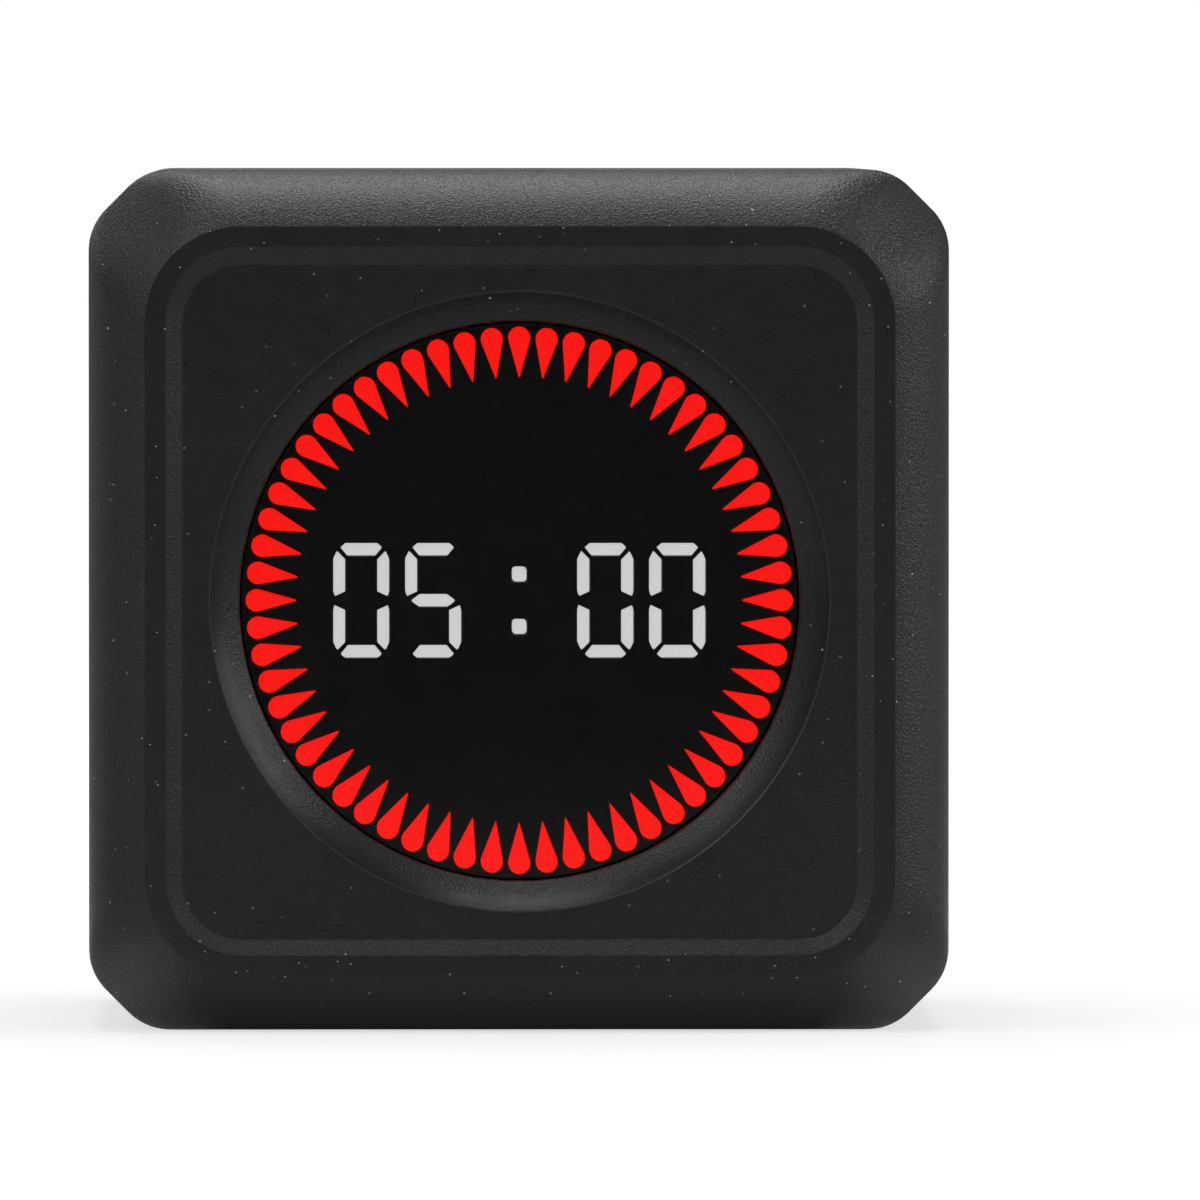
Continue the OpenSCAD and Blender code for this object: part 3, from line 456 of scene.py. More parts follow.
# A geometry tree that repeats the incoming shape round a ring, along a row or on the corners of a square
def spreadTree(name, rule, material):
    tree = bpy.data.node_groups.new(name, "GeometryNodeTree")
    sizes = {"ring": (("Count", "Int"), ("Radius", "Float")),
             "row": (("Count", "Int"), ("Pitch", "Float")),
             "corners": (("Spread", "Float"), ("Seed", "Int"))}[rule]
    for label, kind in (("Shape", "Geometry"), *sizes):
        tree.interface.new_socket(label, in_out="INPUT", socket_type="NodeSocket" + kind)
    tree.interface.new_socket("Shape", in_out="OUTPUT", socket_type="NodeSocketGeometry")
    add = tree.nodes.new
    given = add("NodeGroupInput").outputs
    turn = add("ShaderNodeCombineXYZ")
    if rule == "ring":
        points = add("GeometryNodeMeshCircle")
        feed(tree, points, {"Vertices": given["Count"], "Radius": given["Radius"]})
        axes = splitAxes(tree, add("GeometryNodeInputPosition").outputs["Position"])
        feed(tree, turn, {"Z": calc(tree, "ARCTAN2", axes["Y"], axes["X"])})
    elif rule == "row":
        points = add("GeometryNodeMeshLine")
        first, step = add("ShaderNodeCombineXYZ"), add("ShaderNodeCombineXYZ")
        long = calc(tree, "MULTIPLY", calc(tree, "SUBTRACT", given["Count"], 1), given["Pitch"])
        feed(tree, first, {"X": calc(tree, "MULTIPLY", long, -0.5)})
        feed(tree, step, {"X": given["Pitch"]})
        feed(tree, points, {"Count": given["Count"], "Start Location": first.outputs["Vector"],
                            "Offset": step.outputs["Vector"]})
    else:
        points = add("GeometryNodeMeshGrid")
        setInputs(points, {"Vertices X": 2, "Vertices Y": 2})
        wide = calc(tree, "MULTIPLY", given["Spread"], 2)
        feed(tree, points, {"Size X": wide, "Size Y": wide})
        chance = add("FunctionNodeRandomValue")
        chance.data_type = "FLOAT"
        chance.inputs[3].default_value = pi          # its highest number
        feed(tree, chance, {"Seed": given["Seed"]})
        feed(tree, turn, {"Z": chance.outputs[1]})
    onPoints = add("GeometryNodeInstanceOnPoints")
    feed(tree, onPoints, {"Points": points.outputs["Mesh"], "Instance": given["Shape"],
                          "Rotation": turn.outputs["Vector"]})
    upright, real = add("GeometryNodeTransform"), add("GeometryNodeRealizeInstances")
    paint = add("GeometryNodeSetMaterial")
    setInputs(upright, {"Translation": (0, 0, half * mm), "Rotation": (pi / 2, 0, 0)})
    paint.inputs["Material"].default_value = material
    shape = onPoints.outputs["Instances"]
    for node in (upright, real, paint):
        feed(tree, node, {"Geometry": shape})
        shape = node.outputs["Geometry"]
    feed(tree, add("NodeGroupOutput"), {"Shape": shape})
    return tree


# The shape comes in lying in the front view, in metres, and goes out upright and repeated
def repeat(piece, rule, finish, **sizes):
    tree = spreadTree(piece.name + "_spread", rule, finishes[finish])
    many = piece.modifiers.new("spread", "NODES")
    many.node_group = tree
    for item in tree.interface.items_tree:
        if item.in_out == "INPUT" and item.name in sizes:
            many[item.identifier] = sizes[item.name]
    bakeModifiers(piece)


# The case: outlines are a distance from the middle for each angle

case = {
    "edgeChamfer": 4.3, "chamferRound": 4.4, "leastRound": 0.5,     # the four edges from front to back
    "bevelWidth": 4.25, "bevelStart": radians(28), "rimCorner": 7.3,
    "cornerFlat": 0.75, "cornerFrom": radians(33.5), "sideSoft": 0.8,
    "wall": 2.0, "coverDepth": 12.5, "jointLine": 0.3, "tongueHeight": 1.8, "grooveHeight": 2.0,
    "tongueGap": 0.1,
    "rimWidth": 1.65, "stepWidth": 1.15, "stepDepth": 0.55, "backRecess": 1.4,
    "dishRadius": 23.33, "dishDepth": 2.0, "dishSlope": radians(48), "holeRadius": 21.1,
    "collarRadius": 25.6, "collarDepth": 4.7,
    "creaseRound": 0.2, "stepRound": 0.8, "lipRound": 0.3, "jointRound": 0.18, "holeRound": 0.1,
    "holeEdge": ((0, 1.5), (0, 0.6), (0.25, 0.15)),                 # out and down, in shares of its round
    "flatSteps": 24, "cornerSteps": 22,                             # columns in an eighth of the outline
    "creaseRings": 3, "bevelRings": 18, "stepRings": 5, "jointRings": 4, "dishRings": 15, "lipRings": 6,
    "panelShares": (0.25, 0.5, 0.75),                               # rings between the dish and the step
}
rimHalf = half - case["bevelWidth"]
stepHalf = rimHalf - case["rimWidth"]
panelHalf = stepHalf - case["stepWidth"]
panelCorner = case["rimCorner"] - case["rimWidth"] - case["stepWidth"]
bevelDepth = case["bevelWidth"] * cos(case["bevelStart"]) / (1 - sin(case["bevelStart"]))
zPanel = half - case["stepDepth"]
zLens = zPanel - case["dishDepth"]
zCollar = zLens - case["collarDepth"]
zJoint = case["coverDepth"] - half
zBackPanel = case["backRecess"] - half
zBackInner = zBackPanel + case["wall"]
cutCorner = 2 - sqrt(2)                                             # cut of a corner that is one round of 1


def foldAngle(a):
    a = a % (pi / 2)
    return min(a, pi / 2 - a)


def farSide(a, centre, radius):
    along = centre[0] * cos(a) + centre[1] * sin(a)
    return along + sqrt(along ** 2 - centre[0] ** 2 - centre[1] ** 2 + radius ** 2)


# A square with cut and rounded corners
def cutReach(side, cut, bend):
    flat = side - cut - bend * tan(pi / 8)
    centre = (side - bend, flat)
    turned = (centre[0] + bend * cos(pi / 4), centre[1] + bend * sin(pi / 4))

    def reach(a):
        e = foldAngle(a)
        if e <= atan2(flat, side):
            return side / cos(e)
        if e < atan2(turned[1], turned[0]):
            return farSide(e, centre, bend)
        return (2 * side - cut) / (cos(e) + sin(e))
    return reach


# The same with corners that are one round
def squareReach(side, corner):
    return cutReach(side, corner * cutCorner, corner)


def circleReach(radius):
    return lambda a: radius


# The widest outline, drawn in by an inset
def sideReach(inset=0.0):
    cut = case["edgeChamfer"] - inset * cutCorner
    return cutReach(half - inset, cut, max(case["chamferRound"] - inset, case["leastRound"]))


# An outline of the bevel: share 0 is the rim, 1 the sides; the corners follow the depth more than the share
def bevelReach(share, sunk):
    side = rimHalf + case["bevelWidth"] * share
    bend = case["rimCorner"] + (case["chamferRound"] - case["rimCorner"]) * share
    inner = 2 * rimHalf - case["rimCorner"] * cutCorner
    outer = 2 * half - case["edgeChamfer"]
    along = share + (sunk - share) * case["cornerFlat"]
    return cutReach(side, 2 * side - inner - (outer - inner) * along, bend)


def between(a, b, share):
    return lambda angle: a(angle) * (1 - share) + b(angle) * share


# Angles of the columns, close together where the outlines turn
def columnAngles():
    eighth = []
    turn = case["cornerFrom"]
    for start, end, steps in ((0, turn, case["flatSteps"]), (turn, pi / 4, case["cornerSteps"])):
        eighth += [start + (end - start) * i / steps for i in range(steps)]
    quarter = eighth + [pi / 4] + [pi / 2 - a for a in reversedList(eighth[1:])]
    return [q * pi / 2 + a for q in range(4) for a in quarter]


columns = columnAngles()


# From the flat rim over the crease and down the bevel to the sides, for the front or, with way 1, the back
def bevelRings(zEnd, way):
    start, r = case["bevelStart"], case["creaseRound"]
    rings = []
    for i in range(case["creaseRings"] + 1):
        a = start * i / case["creaseRings"]
        out, down = r * sin(a) - r * tan(start / 2), r * (1 - cos(a))
        rings.append((squareReach(rimHalf + out, case["rimCorner"] + out), zEnd + way * down))
    for i in range(1, case["bevelRings"] + 1):
        slope = start + (pi / 2 - start) * i / case["bevelRings"]
        share = (sin(slope) - sin(start)) / (1 - sin(start))
        sunk = 1 - cos(slope) / cos(start)
        rings.append((bevelReach(share, sunk), zEnd + way * bevelDepth * sunk))
    rings.append((sideReach(), zEnd + way * (bevelDepth + case["sideSoft"])))
    return rings


# From the panel up the sloping step to the rim
def stepRings(zFloor, zTop):
    rise, r = zTop - zFloor, case["stepRound"]
    slope = atan(abs(rise) / case["stepWidth"])
    way = 1 if rise > 0 else -1
    back = r * tan(slope / 2)
    turns = [slope * i / case["stepRings"] for i in range(case["stepRings"] + 1)]
    offsets = [(r * sin(a) - back, way * r * (1 - cos(a))) for a in turns]
    offsets += [(case["stepWidth"] - out, rise - up) for out, up in reversedList(offsets)]
    return [(squareReach(panelHalf + out, panelCorner + out), zFloor + up) for out, up in offsets]


# The edge of a shell at the joint line, from the outer side round to the joint face
def jointRings(zFace, way):
    r = case["jointRound"]
    turns = [pi / 2 * i / case["jointRings"] for i in range(case["jointRings"] + 1)]
    return [(sideReach(r - r * cos(a)), zFace + way * (r - r * sin(a))) for a in turns]


# From the collar up the edge of the hole, the hollow of the dish and the lip round it
def dishRings():
    hole, wide = case["holeRadius"], case["dishRadius"] - case["holeRadius"]
    steep = case["dishSlope"]
    low = 2 * atan(case["dishDepth"] / wide) - steep
    bend = wide / (sin(steep) - sin(low))
    r = case["holeRound"]
    rings = [(hole, zCollar)] + [(hole + out * r, zLens - down * r) for out, down in case["holeEdge"]]
    for i in range(case["dishRings"]):
        s = low + (steep - low) * (i + 0.5) / case["dishRings"]
        rings.append((hole + bend * (sin(s) - sin(low)), zLens + bend * (cos(low) - cos(s))))
    lip = case["lipRound"]
    off = lip * tan(steep / 2)
    for i in range(case["lipRings"] + 1):
        s = steep * (1 - i / case["lipRings"])
        rings.append((case["dishRadius"] + off - lip * sin(s), zPanel - lip + lip * cos(s)))
    return [(circleReach(radius), z) for radius, z in rings]


def shellPiece(name, rings, closed=False):
    bm = bmesh.new()
    loft(bm, [[stand(reach(a) * cos(a), reach(a) * sin(a), z) for a in columns]
              for reach, z in rings], closed)
    return meshObject(name, bm, "case")


def frontCase():
    dish, panel = dishRings(), stepRings(zPanel, half)
    rings = dish + [(between(dish[-1][0], panel[0][0], share), zPanel) for share in case["panelShares"]]
    rings += panel + bevelRings(half, -1) + jointRings(zJoint, 1)
    wall, zGroove = case["wall"], zJoint + case["grooveHeight"]
    zBevel, zWall = half - bevelDepth, zPanel - wall
    tube, collar = squareReach(rimHalf, case["rimCorner"]), circleReach(case["collarRadius"])
    rings += [(sideReach(wall / 2), zJoint), (sideReach(wall / 2), zGroove), (sideReach(wall), zGroove),
              (sideReach(wall), zBevel), (tube, zBevel), (tube, zWall), (collar, zWall), (collar, zCollar)]
    return shellPiece("front_case", rings, closed=True)


def backCase():
    wall, zTongue = case["wall"], zJoint + case["tongueHeight"]
    tongue = wall / 2 + case["tongueGap"]
    zBevel, zFace = bevelDepth - half, zJoint - case["jointLine"]
    tube = squareReach(rimHalf, case["rimCorner"])
    rings = [(tube, zBackInner), (tube, zBevel), (sideReach(wall), zBevel), (sideReach(wall), zTongue),
             (sideReach(tongue), zTongue), (sideReach(tongue), zFace)]
    rings += reversedList(jointRings(zFace, -1))
    rings += reversedList(bevelRings(-half, 1))
    rings += reversedList(stepRings(zBackPanel, -half))
    return shellPiece("back_case", rings)


# Corners of a stroke, in shares of its width and of the gap between strokes
strokeShape = {"end": 0.97, "near": 0.58, "off": 0.33, "lift": 0.5, "point": 0.45, "notch": 0.12}
strokeGaps = {"shoulder": 1.5, "notch": 2.2, "foot": 2}


# Strokes of a seven-part figure, each a six-cornered outline: top, then clockwise, and the middle one last
def strokeOutline(k, w, h, s, gap):
    x, y, inner = w / 2, h / 2, s + gap
    end, near, off, lift, point, notch = (s * share for share in strokeShape.values())
    shoulder, low, foot = (gap * share for share in strokeGaps.values())
    top = [(x - end, y), (end - x, y), (near - x, y - off), (inner - x, y - s), (x - inner, y - s),
           (x - near, y - off)]
    right = [(x, y - inner - gap), (x - off, y - near), (x - s, y - inner - gap), (x - s, lift + shoulder),
             (x - notch, low), (x, lift + foot)]
    middle = [(x - point, 0), (x - inner, lift), (inner - x, lift), (point - x, 0), (inner - x, -lift),
              (x - inner, -lift)]
    outline = {0: top, 3: top, 6: middle}.get(k, right)
    across = -1 if k in (3, 4, 5) else 1
    up = -1 if k in (2, 3, 4) else 1
    outline = [(across * px, up * py) for px, py in outline]
    return outline if across == up else reversedList(outline)


figureStrokes = {0: (0, 1, 2, 3, 4, 5), 1: (1, 2), 3: (0, 1, 2, 3, 6), 5: (0, 2, 3, 5, 6),
                 6: (0, 2, 3, 4, 5, 6)}

sideFigures = {
    "figures": ((5,), (6, 0), (3, 0), (1, 5)),       # top, left, bottom and right side
    "height": 16.0, "width": 8.32, "stroke": 2.08, "gap": 0.28, "pitch": 11.648,
    "pocket": 0.35, "cutPast": 1.0, "sunk": 0.05, "clear": 0.05, "round": 0.35,
}


# Prisms of the side figures, from a depth under the side up to a height over it, drawn in by a gap
def sidePrisms(bm, low, high, drawnIn):
    sizes = [sideFigures[size] for size in ("width", "height", "stroke", "gap")]
    for q, figures in enumerate(sideFigures["figures"]):
        turn = Matrix.Rotation(pi / 2 * q, 3, "Z")
        for i, figure in enumerate(figures):
            shift = (i - (len(figures) - 1) / 2) * sideFigures["pitch"]
            for k in figureStrokes[figure]:
                corners = [Vector(p) for p in strokeOutline(k, *sizes)]
                middle = sum(corners, Vector((0, 0))) / len(corners)
                reach = max((p - middle).length for p in corners)
                corners = [middle + (p - middle) * (1 - drawnIn / reach) for p in corners]
                outline = roundCorners(corners, sideFigures["round"])
                loft(bm, [[stand(*(turn @ Vector((u + shift, half + up, -v)))) for u, v in outline]
                          for up in (low, high)])


frontPiece = frontCase()
pockets = bmesh.new()
sidePrisms(pockets, -sideFigures["pocket"], sideFigures["cutPast"], 0.0)
cutAway(frontPiece, meshObject("pockets", pockets, "case"))
settle(frontPiece, "case", "shell", "front_shell")

inlay = bmesh.new()
sidePrisms(inlay, sideFigures["clear"] - sideFigures["pocket"], -sideFigures["sunk"], sideFigures["clear"])
settle(meshObject("side_figures", inlay, "figure"), "case", "side_number", "side_numbers")
print("front shell and side figures:", len(frontPiece.data.polygons), "faces")

# The back panel's holes, each cut with a rounded mouth

back = {
    "buttonX": 12.5, "buttonY": -1.0, "buttonHole": 8.3, "buttonMouth": 0.3, "buttonSteps": 16,
    "slotY": -2.0, "slotLong": 6.3, "slotHigh": 2.9, "slotCorner": 0.3, "slotMouth": 0.2,
    "socketY": -13.0, "socketLong": 9.24, "socketHigh": 3.56, "socketMouth": 0.25, "socketSteps": 12,
    "grilleY": 11.2, "grilleHole": 1.2, "grilleMouth": 0.15, "grilleSteps": 6,
    "grillePitch": 2.0, "grilleRings": (1, 2), "grilleFirst": 6,    # holes of the first ring
    "screwAt": 21.5, "screwWell": 4.4, "screwMouth": 0.25, "screwSteps": 12,
    "cutInside": 0.6, "cutOutside": 1.0, "mouthRings": 6,
    "mouthLift": 0.004,                              # the mouth's arc ends just clear of the panel
}


def mouthCutter(bm, outline, mouth, put=stand):
    rings = [(0.0, zBackInner + back["cutInside"])]
    for i in range(back["mouthRings"] + 1):
        a = pi / 2 * i / back["mouthRings"]
        rings.append((mouth * (1 - cos(a)), zBackPanel - back["mouthLift"] + mouth * (1 - sin(a))))
    rings.append((mouth, zBackPanel - back["cutOutside"]))
    loft(bm, [[put(x, y, z) for x, y in outline(grown)] for grown, z in rings])


# Outlines of a hole for each distance that its mouth grows by
def boxHole(x, y, wide, high, corner, steps=8):
    return lambda grown: [(x + px, y + py) for px, py in roundBox(wide, high, corner, grown, steps)]


def roundHole(x, y, size, steps):
    return boxHole(x, y, size, size, size / 2, steps)


backPiece = backCase()
cutters = bmesh.new()
for side in (-1, 1):
    buttonHole = roundHole(side * back["buttonX"], back["buttonY"], back["buttonHole"], back["buttonSteps"])
    mouthCutter(cutters, buttonHole, back["buttonMouth"])
    for up in (-1, 1):
        screwHole = roundHole(side * back["screwAt"], up * back["screwAt"], back["screwWell"],
                              back["screwSteps"])
        mouthCutter(cutters, screwHole, back["screwMouth"])
slotHole = boxHole(0, back["slotY"], back["slotLong"], back["slotHigh"], back["slotCorner"])
mouthCutter(cutters, slotHole, back["slotMouth"])
socketHole = boxHole(0, back["socketY"], back["socketLong"], back["socketHigh"], back["socketHigh"] / 2,
                     back["socketSteps"])
mouthCutter(cutters, socketHole, back["socketMouth"])
grilleHole = roundHole(0, back["grilleY"], back["grilleHole"], back["grilleSteps"])
mouthCutter(cutters, grilleHole, back["grilleMouth"])
cutAway(backPiece, meshObject("holes", cutters, "case"))
for ring in back["grilleRings"]:
    pin = bmesh.new()
    mouthCutter(pin, roundHole(0, 0, back["grilleHole"], back["grilleSteps"]), back["grilleMouth"], lay)
    pins = meshObject("grille_pins", pin, "case")
    repeat(pins, "ring", "case", Count=back["grilleFirst"] * ring, Radius=ring * back["grillePitch"] * mm)
    pins.data.transform(Matrix.Translation((0, 0, back["grilleY"] * mm)))
    cutAway(backPiece, pins)
settle(backPiece, "case", "shell", "rear_cover")
print("back shell:", len(backPiece.data.polygons), "faces")

# The four screws of the case

screw = {
    "headRadius": 2.0, "headHigh": 1.6, "headRound": 0.9, "headFlat": 0.3, "headSteps": 8, "seat": 2.6,
    "threadRadius": 1.15, "threadLong": 15.5, "threadDeep": 0.28, "pitch": 0.9, "neck": 0.4,
    "threadRoot": 0.5, "threadCrest": 0.75,          # where the root ends and the crest stands in a pitch
    "tipDrawn": 0.3, "tipLong": 0.8, "tipRadius": 0.15,
    "crossLong": 2.5, "crossWide": 0.62, "crossDeep": 1.0, "crossRound": 0.12, "crossOver": 0.5,
    "crossTaper": (1.25, 0.62),
}
zSeat = zBackPanel + screw["seat"]
zScrewTip = zSeat + screw["threadLong"]


def screwPiece():
    r, edge, thin, pitch = (screw[size] for size in ("headRadius", "headRound", "threadRadius", "pitch"))
    top, core = zSeat - screw["headHigh"], thin - screw["threadDeep"]
    profile = [(screw["headFlat"], top)]
    profile += arc((r - edge, top + edge), edge, -pi / 2, 0, screw["headSteps"])
    profile += [(r, zSeat), (thin, zSeat)]
    for i in range(int(screw["threadLong"] / pitch) - 1):
        z = zSeat + screw["neck"] + i * pitch
        profile += [(core, z), (core, z + pitch * screw["threadRoot"]),
                    (thin, z + pitch * screw["threadCrest"])]
    profile += [(thin - screw["tipDrawn"], zScrewTip - screw["tipLong"]), (screw["tipRadius"], zScrewTip)]
    bm = bmesh.new()
    lathe(bm, profile, put=lay)
    piece = meshObject("case_screw", bm, "blackScrew")
    long, wide = screw["crossLong"], screw["crossWide"]
    ends = list(zip(screw["crossTaper"], (top - screw["crossOver"], top + screw["crossDeep"])))
    for sides in ((long, wide), (wide, long)):
        cross = bmesh.new()
        outline = roundBox(*sides, screw["crossRound"])
        loft(cross, [[lay(x * share, y * share, z) for x, y in outline] for share, z in ends])
        cutAway(piece, meshObject("cross", cross, "blackScrew"))
    return piece


screwsPiece = screwPiece()
repeat(screwsPiece, "corners", "blackScrew", Spread=back["screwAt"] * mm, Seed=7)
settle(screwsPiece, "case", "black_screw", "case_screws", sharp=40)

# Moulded for the screws: wells in the back, columns behind the front wall, and posts for the main board

supports = {
    "wellRadius": 2.2, "wellOuter": 3.2, "wellClear": 0.2,
    "columnBore": 1.2, "columnRadius": 2.8, "columnEnd": 0.5,
    "postAt": 15.5, "postBore": 0.9, "postRadius": 2.2, "postGrip": 3.0, "rooted": 0.25,
}
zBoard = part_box("socket_shell")[0].y / -mm


def supportPiece(name, at, profile, closed=False):
    bm = bmesh.new()
    lathe(bm, profile, put=lay, closed=closed)
    piece = meshObject(name, bm, "case")
    repeat(piece, "corners", "case", Spread=at * mm, Seed=1)
    settle(piece, "case", "shell")


# A solid round rod with a hole in its free end
def boredRod(bore, radius, zHole, zMouth, zRoot):
    return [(bore, zHole), (bore, zMouth), (radius, zMouth), (radius, zRoot)]


inner, outer = supports["wellRadius"], supports["wellOuter"]
throat, zRoot = screw["threadRadius"] + supports["wellClear"], zBackInner - supports["rooted"]
wellWall = [(inner, zRoot), (inner, zSeat), (throat, zSeat), (throat, zJoint), (outer, zJoint),
            (outer, zRoot)]
supportPiece("screw_wells", back["screwAt"], wellWall, closed=True)
zFrontRoot = zPanel - case["wall"] + supports["rooted"]
column = boredRod(supports["columnBore"], supports["columnRadius"], zScrewTip + supports["columnEnd"],
                  zJoint, zFrontRoot)
supportPiece("case_columns", back["screwAt"], column)
post = boredRod(supports["postBore"], supports["postRadius"], zBoard - supports["postGrip"], zBoard, zRoot)
supportPiece("board_posts", supports["postAt"], post)
print("screws, wells and posts set")

# The display: smoked window, drops, strokes and colon behind it

dial = {
    "windowRadius": 20.95, "windowThick": 1.2, "windowEdge": 0.2, "windowTurns": 160, "edgeSteps": 6,
    "behind": 0.05, "resinThick": 2.6,
    "sunk": 0.35, "clear": 0.085,                    # the lit pieces stop short of their wells
    "count": 60, "dropHead": 0.91, "dropLong": 4.3, "dropInset": 0.22, "tipRound": 0.05, "headSteps": 28,
    "digitHigh": 8.75, "digitWide": 4.37, "digitPitch": 5.43, "pairPitch": 18.42, "shown": (0, 5, 0, 0),
    "stroke": 1.05, "gap": 0.14, "strokeRound": 0.17, "roundSteps": 5,
    "colonSide": 1.25, "colonPitch": 3.96, "colonRound": 0.28,
}
zBlock = zLens - dial["windowThick"]
zResin = zBlock - dial["resinThick"]
zGlow = zBlock - dial["sunk"]

window = bmesh.new()
edge = dial["windowEdge"]
rounded = arc((dial["windowRadius"] - edge, zLens - edge), edge, 0, pi / 2, dial["edgeSteps"])
lathe(window, [(dial["windowRadius"], zBlock + dial["behind"])] + rounded, turns=dial["windowTurns"])
settle(meshObject("smoked_window", window, "window"), "case", "lens", "display_lens")

# One drop with its head at the middle and its tip towards -x
head = dial["dropHead"] - dial["clear"]
tip = (dial["dropLong"] - dial["dropHead"]) * head / dial["dropHead"]
sweep = pi / 2 + asin(head / tip)
dropOutline = arc((0, 0), head, -sweep, sweep, dial["headSteps"])
tipArcs = roundCorners([dropOutline[-1], (-tip, 0), dropOutline[0]], dial["tipRound"])
dropOutline += tipArcs[len(tipArcs) // 3:2 * len(tipArcs) // 3]     # the arc of the second corner alone
drop = bmesh.new()
prism(drop, dropOutline, zResin, zGlow, lay)
dropsPiece = meshObject("minute_ring", drop, "redGlow")
ringRadius = dial["windowRadius"] - dial["dropInset"] - dial["dropHead"]
repeat(dropsPiece, "ring", "redGlow", Count=dial["count"], Radius=ringRadius * mm)
settle(dropsPiece, "case", "red_resin", "minute_drops")

# The strokes of the digits: the dark ones fill their wells, flush with the block
lit, dark = bmesh.new(), bmesh.new()
for i, figure in enumerate(dial["shown"]):
    pair, place = (-1, 1)[i // 2], (-1, 1)[i % 2]
    x = pair * dial["pairPitch"] / 2 + place * dial["digitPitch"] / 2
    for k in range(7):
        isLit = k in figureStrokes[figure]
        room = 2 * dial["clear"] if isLit else 0
        wide, high, across = (dial[size] - room for size in ("digitWide", "digitHigh", "stroke"))
        outline = strokeOutline(k, wide, high, across, dial["gap"])
        outline = roundCorners(outline, dial["strokeRound"], dial["roundSteps"])
        outline = [(x + px, py) for px, py in outline]
        prism(lit if isLit else dark, outline, zResin, zGlow if isLit else zBlock)
colon = bmesh.new()
for up in (-1, 1):
    side = dial["colonSide"] - 2 * dial["clear"]
    outline = roundBox(side, side, dial["colonRound"])
    prism(colon, [(x, y + up * dial["colonPitch"] / 2) for x, y in outline], zResin, zGlow)
for name, bm, finish, slot, node in (("lit_strokes", lit, "whiteGlow", "white_resin", "lit_segments"),
                                     ("dark_strokes", dark, "darkResin", "dark_resin", "unlit_segments"),
                                     ("colon_pair", colon, "whiteGlow", "white_resin", "colon_dots")):
    settle(meshObject(name, bm, finish), "case", slot, node)
print("display set")

# The push buttons: a round cap with a soft edge and a finger dish, its flange behind the wall and its stem

button = {"radius": 4.0, "proud": 0.9, "edge": 0.5, "dip": 0.28, "dipRings": 12, "flange": 1.2,
          "flangeThick": 1.0, "stem": 1.7, "behind": 0.05, "edgeSteps": 6, "turns": 72}
zButton = zBackPanel - button["proud"]


def capProfile(zStem):
    r, edge, stem = button["radius"], button["edge"], button["stem"]
    wide, zFlange = r + button["flange"], zBackInner + button["behind"]
    zStep = zFlange + button["flangeThick"]
    profile = []
    for i in range(1, button["dipRings"] + 1):
        share = i / button["dipRings"]
        profile.append(((r - edge) * share, zButton + button["dip"] * (1 + cos(pi * share)) / 2))
    profile += arc((r - edge, zButton + edge), edge, -pi / 2, 0, button["edgeSteps"])[1:]
    profile += [(r, zFlange), (wide, zFlange), (wide, zStep), (stem, zStep), (stem, zStem)]
    return profile


for body, side in (("mode_button", 1), ("sound_button", -1)):
    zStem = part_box(body + "_cap")[0].y / -mm                        # the cap's inner end, from its solid
    bm = bmesh.new()
    lathe(bm, capProfile(zStem), side * back["buttonX"], back["buttonY"], button["turns"])
    settle(meshObject(body + "_pad", bm, "button"), body, "button", body + "_cap")

# The power knob: a ridged grip on a plate that hides the slot

knob = {"long": 4.0, "high": 2.6, "ridges": 4, "ridgeDeep": 0.3, "ridgeFull": 0.7, "ridgeSteps": 14,
        "round": 0.12, "roundSteps": 4, "plateThick": 0.8, "plateCorner": 0.3, "overPlate": 0.02,
        "y": -2.0, "at": 1.0, "behind": 0.05}


def knobPiece():
    low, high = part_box("power_knob")
    plateLong, plateHigh = (high.x - low.x) / mm, (high.z - low.z) / mm
    zPlate = zBackInner + knob["behind"]
    bm = bmesh.new()
    plate = roundBox(plateLong, plateHigh, knob["plateCorner"])
    prism(bm, [(x + knob["at"], y + knob["y"]) for x, y in plate], zPlate, zPlate + knob["plateThick"])
    halfLong, halfHigh, r = knob["long"] / 2, knob["high"] / 2, knob["round"]
    grip = [(-halfLong, zPlate + knob["overPlate"])]
    steps = knob["ridgeSteps"] * knob["ridges"]
    for i in range(steps + 1):
        wave = (1 + cos(2 * pi * (knob["ridges"] - 1) * i / steps)) / 2
        deep = knob["ridgeDeep"] * (1 - wave ** knob["ridgeFull"])
        grip.append((knob["long"] * i / steps - halfLong, zButton + deep))
    grip.append((halfLong, zPlate + knob["overPlate"]))
    middle = (zButton + zPlate) / 2
    rings = []
    for i in range(-knob["roundSteps"], knob["roundSteps"] + 1):
        y = i / knob["roundSteps"] * halfHigh
        past = max(0.0, (abs(y) - halfHigh + r) / r)
        drawn = r * (1 - sqrt(max(0.0, 1 - past ** 2)))
        rings.append([stand(x * (1 - drawn / halfLong) + knob["at"], y + knob["y"],
                            z + drawn if z < middle else z) for x, z in grip])
    loft(bm, rings)
    return meshObject("power_grip", bm, "button")


settle(knobPiece(), "power_switch", "button", "power_knob", sharp=40)
print("buttons and knob set")

# The charging socket: a drawn shell with a rolled mouth, its tongue and the rows of contacts

socket = {
    "long": 8.94, "high": 3.26, "skin": 0.3, "sunk": 0.4, "endSteps": 14, "mouthSteps": 8,
    "base": 2.2, "baseClear": 0.05,
    "tongueLong": 6.7, "tongueHigh": 0.7, "tongueSunk": 0.7, "tongueCorner": 0.1, "tongueRooted": 0.05,
    "tipDrawn": 0.3, "tipLong": 0.25,
    "contacts": 12, "contactPitch": 0.5, "contactWide": 0.26, "contactLong": 3.4, "contactFrom": 0.35,
    "contactProud": 0.02, "contactDeep": 0.1, "contactRound": 0.02,
}
zSocket = zBackPanel + socket["sunk"]
zBase = zBoard - socket["base"]
zTip = zSocket + socket["tongueSunk"]


